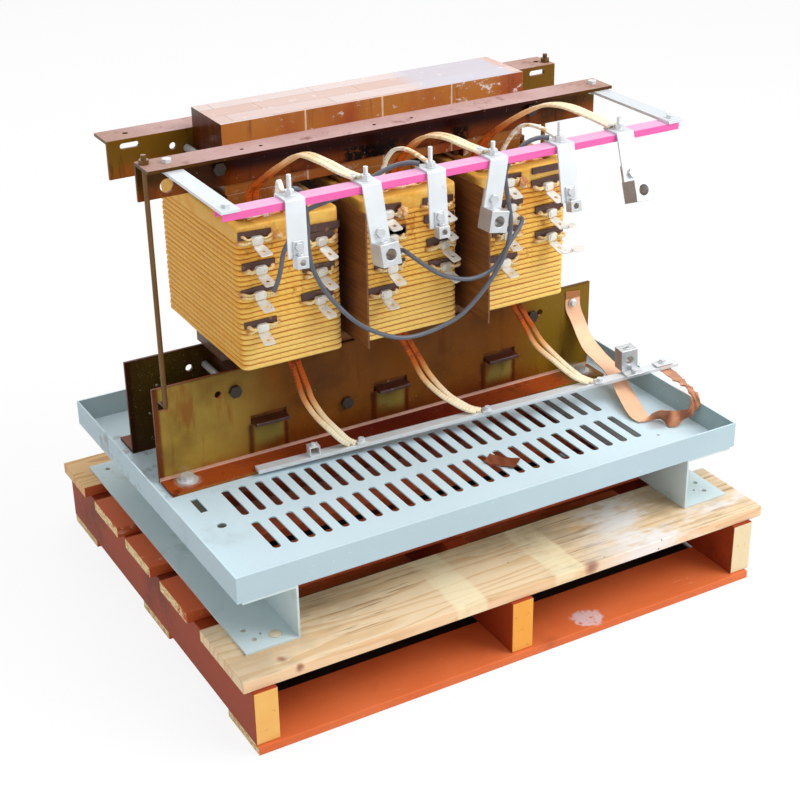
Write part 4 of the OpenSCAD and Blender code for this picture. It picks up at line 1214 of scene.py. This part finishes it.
class DRESS_OT_leads(bpy.types.Operator):
    """Pairs of paper-taped strips: upper and lower winding leads, and the short leads of the small straps"""

    bl_idname = "dress.leads"
    bl_label = "Winding leads"

    def execute(self, context):
        for name, routes, wide in (("upper_leads", UPPER_LEADS, 9.6), ("lower_leads", LOWER_LEADS, 9)):
            pairs = Shape()
            for k, route in enumerate(routes):
                for side in (-1, 1):
                    self.strip(pairs, route, side, wide, 10 * k + side)
            pairs.make(name + "_taped", "lead_tape", "lead_paper", name)
        short = Shape()
        for k, route in enumerate(SHORT_LEADS):
            self.strip(short, route, 0, 8, 60 + k)
        short.make("short_leads_taped", "short_tape", "lead_paper", "short_leads")
        ends = Shape()
        for route in UPPER_LEADS:
            tip, turn = route_end(route)
            ends.box((-21, -8, 2.3), (0, 8, 3.6), turn, tip)
            ends.lathe([(0, 3.6), (4.2, 3.6), (4.2, 5), (0, 5)], 20, turn, tip + turn @ [-9.0, 0, 0])
        ends.make("lead_ends", "pale_metal", "aluminium", bevel=0.0004, split=35)
        return {"FINISHED"}

    def strip(self, pairs, route, side, wide, seed):
        """One strip beside the middle line; it wanders a little, and is thicker at the coil where tape
        gathers."""
        path = smooth_path(route, 70)
        s = np.linspace(0, 1, 70)
        drift = np.interp(s, np.linspace(0, 1, 7), np.random.default_rng(100 + seed).uniform(-1.4, 1.4, 7))
        bell = np.sin(np.pi * s)
        path[:, 0] += side * (wide / 2 + 0.5 + 1.3 * bell) + drift * bell
        path[:, 2] += side * 1.6 * bell * np.sin(s * 5)
        swell = 1 + 0.25 * np.exp(-((s / 0.12) ** 2)) + 0.03 * np.sin(s * 190)
        section = rounded_ring(wide, 5.2, 2.2, 4, 3, 1)[0]
        across = np.tile([1.0, 0, 0], (70, 1)) + np.c_[np.zeros(70), drift * 0.06,
                                                       side * 0.12 * np.sin(s * 7)]
        pairs.sweep(path, section, across, U=np.linspace(0, 1, 71), scale=swell)


class DRESS_OT_straps(bpy.types.Operator):
    """Six straps bent over the bar with their studs, three large and three small wire lugs"""

    bl_idname = "dress.straps"
    bl_label = "Straps and lugs"

    def execute(self, context):
        plates, large, small, studs = Shape(), Shape(), Shape(), Shape()
        for x, tilt, lean, length, kind in STRAPS:
            top = np.array([x, BAR_FRONT, BAR_TOP])
            turn = rotation("X", -tilt) @ rotation("Y", -lean)
            self.strap(plates, top, turn, tilt, length)
            self.stud(studs, top, 12 if kind else 22)
            end = top + (0, -3, 3) + turn @ [0, 0, -length]
            (self.large_lug if kind else self.small_lug)(large if kind else small, turn, end)
        plates.make("strap_plates", "pale_metal", "aluminium", "line_straps", bevel=0.0006, split=30)
        studs.make("strap_studs", "zinc", "aluminium", bevel=0.0002, split=40)
        large.make("block_lugs", "lug_metal", "aluminium", "large_lugs", bevel=0.0006, split=35)
        small.make("screw_lugs", "lug_metal", "aluminium", "small_lugs", bevel=0.0004, split=35)
        return {"FINISHED"}

    def strap(self, plates, top, turn, tilt, length):
        """A 30 by 3 mm bar along a line: back of the bar, a bend of (90 - tilt) degrees, then the hanging
        run."""
        a = np.radians(90 + np.linspace(0, 90 - tilt, 8))
        bend = np.c_[np.zeros(8), 2.5 * np.cos(a), 2.5 * np.sin(a) - 1.0]
        start = np.array([[0, 32, 1.5], [0, 12, 1.5]])
        down = turn @ [0, 0, -1.0]
        runs = [bend[-1] + down * length * f for f in (0.3, 0.6, 0.98)]
        path = np.vstack([start, bend, runs]) + top
        across = np.vstack([np.tile([1.0, 0, 0], (10, 1)), np.tile(turn @ [1.0, 0, 0], (3, 1))])
        plates.sweep(path, rectangle(30, 3), across)

    def stud(self, studs, top, rise):
        """Washer, nut and a threaded stud whose radius is 3.3 + 0.3 cos(2 pi z / pitch), pitch 1.5 mm."""
        at = top + (0, 14, 3)
        studs.lathe([(0, 0), (8.2, 0), (8.2, 1.6), (0, 1.6)], 28, None, at)
        studs.prism(hexagon(12.5), 1.6, 8, rotation("Z", 17), at)
        z = np.arange(8, rise + 8, 0.375)
        thread = np.c_[3.3 + 0.3 * np.cos(2 * np.pi * z / 1.5), z]
        studs.lathe([(0, 8), *thread.tolist(), (0, rise + 8)], 16, None, at)

    def large_lug(self, large, turn, end):
        """Block with a through bore and a set screw on top, tongue behind the strap and its bolt in front."""
        outline, hole = seen_ring(rectangle(30, 33), 8.5, 40)
        large.holed(outline, hole, -8, 25, turn @ rotation("X", 90), end + turn @ [0, 0, -16.7])
        large.box((-14, 3.2, -2), (14, 8, 24), turn, end)
        large.prism(hexagon(13), 0.2, 5.2, turn @ rotation("X", 90), end + turn @ [0, 0, 12])
        large.lathe([(0, -6), (6.4, -6), (6.4, 0.5), (3.6, 0.5), (3.4, -2.5), (0, -2.5)], 20, turn,
                    end + turn @ [0, -9, -0.2])
        large.lathe([(0, -9), (5.2, -9), (5.2, 0), (0, 0)], 16, turn, end + turn @ [0, -9, -6])

    def small_lug(self, small, turn, end):
        outline, hole = seen_ring(rectangle(18, 17), 4.5, 32)
        small.holed(outline, hole, 0.1, 15, turn @ rotation("X", 90), end + turn @ [0, 0, -6.5])
        small.box((-8, -3, 1), (8, -0.1, 22), turn, end)
        small.prism(hexagon(11), 3, 7, turn @ rotation("X", 90), end + turn @ [0, 0, 14])
        small.lathe([(0, -4), (4.4, -4), (4.4, 2.6), (2.4, 2.6), (2.2, 0.6), (0, 0.6)], 18, turn,
                    end + turn @ [0, -8, 2])


class DRESS_OT_copper(bpy.types.Operator):
    """The folded and crumpled copper ground strap, its flat end on the bar and its bolt"""

    bl_idname = "dress.copper"
    bl_label = "Ground strap"

    def execute(self, context):
        body = Shape()
        self.ribbon(body, *GROUND_FALL, 0.25)
        self.ribbon(body, *GROUND_END, 1.5)
        turn = bar_turn()
        body.box((-12, -9, 0), (13, 12, 1.4), turn, on_bar(744, 6.6))
        body.make("copper_strap", "copper_strip", "copper", "ground_strap", split=60)
        bolt = Shape().lathe([(0, 0), (8, 0), (8, 1.2), (6.6, 1.2), (6.3, 3.6), (4.6, 5.2), (2.4, 4.9),
                              (0, 4.8)], 28,
                             rotation("X", 90), (374.6, -63.2, 348))
        bolt.make("ground_bolt", "zinc", "zinc", split=40)
        return {"FINISHED"}

    def ribbon(self, body, low, high, size):
        """Point (s, w) runs from one edge curve at w = 0 to the other at w = 1, moved along the normal.

        The move is size * (sin(50 s + 5 w) + 0.6 sin(91 s - 8 w)) * sin(pi s), and the strip is 1.4 mm thick.
        """
        n = 110
        a, b = smooth_path(low, n), smooth_path(high, n)
        w, s = np.linspace(0, 1, 9), np.linspace(0, 1, n)
        face = a[:, None] * (1 - w[None, :, None]) + b[:, None] * w[None, :, None]
        normal = np.cross(np.gradient(face, axis=0), (b - a)[:, None])
        normal /= np.linalg.norm(normal, axis=2)[..., None]
        along = s[:, None]
        wave = np.sin(50 * along + 5 * w) + 0.6 * np.sin(91 * along - 8 * w)
        dent = size * wave * np.sin(np.pi * along)
        rows = [face + normal * (dent + side)[..., None] for side in (-0.7, 0.7)]
        P = np.concatenate([rows[0], rows[1][:, ::-1]], 1)
        body.grid(P, U=s.tolist() + [1], round_v=True, ends=True)


BAR_LEFT, BAR_RIGHT = np.array([-268, -114, FLOOR_TOP + 5.2]), np.array([494, -208, 257.0])


def bar_turn():
    """Axes along, across and above the loose bar."""
    run = (BAR_RIGHT - BAR_LEFT) / np.linalg.norm(BAR_RIGHT - BAR_LEFT)
    side = np.cross((0, 0, 1), run)
    side /= np.linalg.norm(side)
    return np.c_[run, side, np.cross(run, side)]


def on_bar(along, lift=6.4):
    """The point so many millimetres along the loose bar and above its foot."""
    turn = bar_turn()
    return BAR_LEFT + turn @ [along, 0, lift]


class DRESS_OT_fittings(bpy.types.Operator):
    """Small things that lie about: clip and washers on the loose bar, scrap on the slots, plug in the foot"""

    bl_idname = "dress.fittings"
    bl_label = "Small fittings"

    def execute(self, context):
        turn = bar_turn()
        clip = Shape()
        clip.box((-9, -9.5, 0), (9, 9.5, 2), turn, on_bar(97))
        for x in (-9, 7):
            clip.box((x, -8, 2), (x + 2, 8, 16), turn, on_bar(97))
        clip.box((-9, -8, 14), (9, 8, 16), turn, on_bar(97))
        clip.lathe([(0, 0), (3.6, 0), (3.6, 4), (0, 4)], 16, turn, on_bar(97, 22.4))
        clip.box((-16, -9.5, 1.6), (14, 9.5, 3.6), turn, on_bar(742))
        clip.lathe([(0, 3.6), (7.5, 3.6), (7.5, 5), (0, 5)], 28, turn, on_bar(742))
        clip.prism(hexagon(11), 5, 10.5, turn, on_bar(742))
        for route in LOWER_LEADS:
            tip, spin = route_end(route)
            outline, hole = seen_ring([(-9, -7.5), (6, -7.5), (9, -4), (9, 4), (6, 7.5), (-9, 7.5)], 2.6)
            at = tip + spin @ [16.0, 0, 0] - (0, 0, 1.1)
            clip.holed(outline, hole, 0, 2, spin, at)
            clip.lathe([(0, 2), (6.2, 2), (6.2, 3.2), (0, 3.2)], 24, spin, at)
            clip.prism(hexagon(10), 3.2, 8, spin @ rotation("Z", 20), at)
        clip.make("bar_fittings", "pale_metal", "aluminium", "neutral_fittings", bevel=0.0004, split=35)
        self.scrap()
        lug = Shape()
        outline, hole = seen_ring(rectangle(31, 38), 7.0, 40)
        lug.holed(outline, hole, -26, -1, turn @ rotation("X", 90), on_bar(678, 29.4))
        lug.box((-15, -18, 0), (19, 6, 4), turn, on_bar(678))
        lug.prism(hexagon(11), 4, 10, turn @ rotation("Z", 12), on_bar(682) + turn @ [0, -8.5, 0])
        lug.lathe([(0, 0), (6.6, 0), (6.6, 1.2), (4.2, 1.2), (4, -1), (0, -1)], 20, turn,
                  on_bar(678, 48.4) + turn @ [0, 13, 0])
        lug.make("neutral_block", "lug_metal", "aluminium", "neutral_lug", bevel=0.0006, split=35)
        plug = Shape().lathe([(0, 0), (9, 0), (9.6, 0.6), (9, 1.4), (0, 1.5)], 28, None, (-384, -407, 125.5))
        plug.make("foot_plug", "plug", "raw_wood")
        return {"FINISHED"}

    def scrap(self):
        """A scrap of soaked board, 50 by 34 mm, curled by 3 mm along its length, lying over two slots."""
        u, w = np.meshgrid(np.linspace(-1, 1, 24), np.linspace(-1, 1, 12), indexing="ij")
        edge = 1 + 0.08 * np.sin(u * 9) * np.abs(w)
        top = np.stack([u * 26, w * 15 * edge,
                        1.2 + 2.6 * u**2 + 1.2 * w**2 * (u > 0) + 0.5 * np.sin(u * 8 + w * 3)], -1)
        under = top - (0, 0, 0.9)
        P = np.concatenate([top, under[:, ::-1]], 1)
        turn = rotation("Z", -52)
        Shape().grid(placed(P, turn, (86, -283, FLOOR_TOP + 0.4)), round_v=True, ends=True).make(
            "board_scrap", "scrap_board", "pressboard", split=60)


class DRESS_OT_frame(bpy.types.Operator):
    """The CAD pieces that keep their own solid, with eased edges, bent corners and finishes"""

    bl_idname = "dress.frame"
    bl_label = "Frame, tray and pallet"

    def execute(self, context):
        for paint, slot, bevel, nodes in (
                ("tray_coat", "tray_paint", 0.7, "base_tray"),
                ("foot_coat", "tray_paint", 0.8, "foot_left foot_right"),
                ("support_bar", "clamp_plating", 0.8, "yoke_supports"),
                ("dark_bolt", "bolt_dark", 0.5, "frame_bolts"),
                ("zinc", "zinc", 0.4, "foot_bolts"),
                ("rod_brown", "bolt_dark", 0.3, "tie_rods"),
                ("pressboard", "pressboard", 0.5, "coil_blocks"),
                ("pressboard", "pressboard", 0.4, "phase_barriers"),
                ("fibre_bar", "fibreglass", 0.6, "terminal_bar"),
                ("pale_metal", "aluminium", 0.6, "terminal_arms neutral_bar"),
                ("core_stack", "core_varnish", 0.7, "core_top_yoke core_bottom_yoke core_legs"),
                ("raw_wood", "raw_wood", 1.6, "pallet_front_board"),
                ("red_wood", "painted_wood", 1.8, "pallet_deck_boards"),
                ("red_wood", "painted_wood", 1.6, "pallet_bottom_boards"),
                ("stringer_wood", "painted_wood", 1.8, "pallet_stringers")):
            for node in nodes.split():
                from_cad(node, paint, bevel)
        high, low = CLAMP_TOP, FLOOR_TOP
        for node, paint, side in (("top_clamp_front", "clamp_high", -1), ("top_clamp_rear", "clamp_high", 1),
                                  ("bottom_clamp_front", "clamp_low", -1),
                                  ("bottom_clamp_rear", "clamp_low", 1)):
            z = high if "top" in node else low
            inner = high - 5 if "top" in node else low + 5
            bends = [(122 + side * 55, z), (122 + side * 60, inner)]
            from_cad(node, paint, 0.6, bends, 7.0)
        return {"FINISHED"}


class DRESS_OT_stage(bpy.types.Operator):
    """Plain pale floor, soft lights, white surround and the camera at the photograph's angle"""

    bl_idname = "dress.stage"
    bl_label = "Stage"

    def execute(self, context):
        look = context.scene.stage_look
        floor = bpy.data.meshes.new("floor")
        side = 14.0
        floor.from_pydata([(-side, -side, 0), (side, -side, 0), (side, side, 0), (-side, side, 0)], [],
                          [(0, 1, 2, 3)])
        piece = put("floor", floor)
        floor.materials.append(self.floor_material(look))
        self.light("key", (2.6, -2.4, 3.4), 2.6, look.key)
        self.light("top", (0.7, -0.5, 4.0), 3.0, look.key * 0.4)
        self.light("fill", (-3.2, -1.6, 2.2), 3.0, look.key * 0.1)
        self.light("back", (0.6, 3.2, 3.0), 3.0, look.key * 0.25)
        world = bpy.data.worlds.new("surround")
        bpy.context.scene.world = world
        world.use_nodes = True
        sky = Tree(world.node_tree)
        rays = sky.add("LightPath")
        seen = rays["Is Camera Ray"].most(rays["Is Transmission Ray"].most(rays["Is Glossy Ray"]))
        strength = sky.add("MapRange", {}, {0: seen, 3: 0.5, 4: 1.0})[0]
        white = sky.tree.nodes["Background"]
        white.inputs["Color"].default_value = (1, 1, 1, 1)
        sky.tree.links.new(strength.out, white.inputs["Strength"])
        self.camera()
        bpy.context.scene.view_settings.view_transform = "Standard"
        return {"FINISHED"}

    def floor_material(self, look):
        """Diffuse pale floor that reads white to the camera but keeps the shadow; under the pallet it is
        painted dark as a painted shadow and does not glow.
        """
        p = Paint("floor_matte")
        p.tree.nodes.remove(p.shader)
        out = p.tree.nodes["Material Output"]
        glow = p.add("Emission", {}, {"Color": (1, 1, 1, 1), "Strength": 1.0})[0]
        rays = p.add("LightPath")
        seen = rays["Is Camera Ray"].most(rays["Is Glossy Ray"])
        x, y = p.axis("X"), p.axis("Y")
        # Painted shadow: the floor under the pallet is painted dark and gets no glow.
        under = p.ramp(x.size(), 0.445, 0.41) * p.ramp(y.size(), 0.355, 0.32)
        shade = p.mix((*look.floor, 1), "2A2624", under)
        matte = p.add("BsdfDiffuse", {}, {"Color": shade})["BSDF"]
        both = p.add("MixShader", {}, {0: seen * (0.87 - 0.87 * under), 1: matte, 2: glow})[0]
        p.tree.links.new(both.out, out.inputs["Surface"])
        return p.material

    def light(self, name, at, size, power):
        """A square soft light aimed at the middle of the object."""
        lamp = bpy.data.lights.new(name, "AREA")
        lamp.size, lamp.energy = size, power
        piece = put(name, lamp)
        back = np.array(at) - (0, 0, 0.4)
        piece.matrix_world = look_along(back / np.linalg.norm(back), at)

    def camera(self):
        """Photograph's camera: 800 by 800 frame, centre of projection as solved from the straight edges."""
        data = bpy.data.cameras.new("view")
        data.lens, data.sensor_width = 72.958, 36.0
        data.shift_x, data.shift_y = 0.00403, -0.00232
        data.clip_start, data.clip_end = 0.05, 100.0
        right = np.array([0.868039, -0.496239, -0.015954])
        up = np.array([0.235416, 0.383081, 0.893212])
        back = np.array([-0.437135, -0.779099, 0.449352])
        piece = put("view", data)
        at = np.array([-1.16946, -2.06732, 1.48032])
        rows = np.c_[right, up, back, at]
        piece.matrix_world = Matrix([*rows.tolist(), [0, 0, 0, 1]])
        bpy.context.scene.camera = piece


def look_along(back, at):
    """Matrix of a lamp whose own z axis is back."""
    right = np.cross((0, 0, 1), back)
    right /= np.linalg.norm(right)
    rows = np.c_[right, np.cross(back, right), back, at]
    return Matrix([*rows.tolist(), [0, 0, 0, 1]])


PIECES = (DRESS_OT_cables, DRESS_OT_coils, DRESS_OT_inner_windings, DRESS_OT_taps, DRESS_OT_leads,
          DRESS_OT_straps,
          DRESS_OT_copper, DRESS_OT_fittings, DRESS_OT_frame, DRESS_OT_stage)


class DRESS_PT_panel(bpy.types.Panel):
    """Lists the pieces and their settings"""

    bl_idname = "DRESS_PT_panel"
    bl_label = "Transformer"
    bl_space_type = "VIEW_3D"
    bl_region_type = "UI"
    bl_category = "Transformer"

    def draw(self, context):
        for kind in PIECES:
            self.layout.operator(kind.bl_idname)
        for group in (context.scene.coil_sizes, context.scene.stage_look):
            for key in group.__annotations__:
                self.layout.prop(group, key)


CLASSES = (CoilSizes, StageLook, *PIECES, DRESS_PT_panel)


def register():
    for kind in CLASSES:
        bpy.utils.register_class(kind)
    bpy.types.Scene.coil_sizes = PointerProperty(type=CoilSizes)
    bpy.types.Scene.stage_look = PointerProperty(type=StageLook)


def unregister():
    del bpy.types.Scene.coil_sizes, bpy.types.Scene.stage_look
    for kind in reversed(CLASSES):
        bpy.utils.unregister_class(kind)


def main():
    register()
    for kind in PIECES:
        group, name = kind.bl_idname.split(".")
        getattr(getattr(bpy.ops, group), name)()


if __name__ == "__main__":
    main()
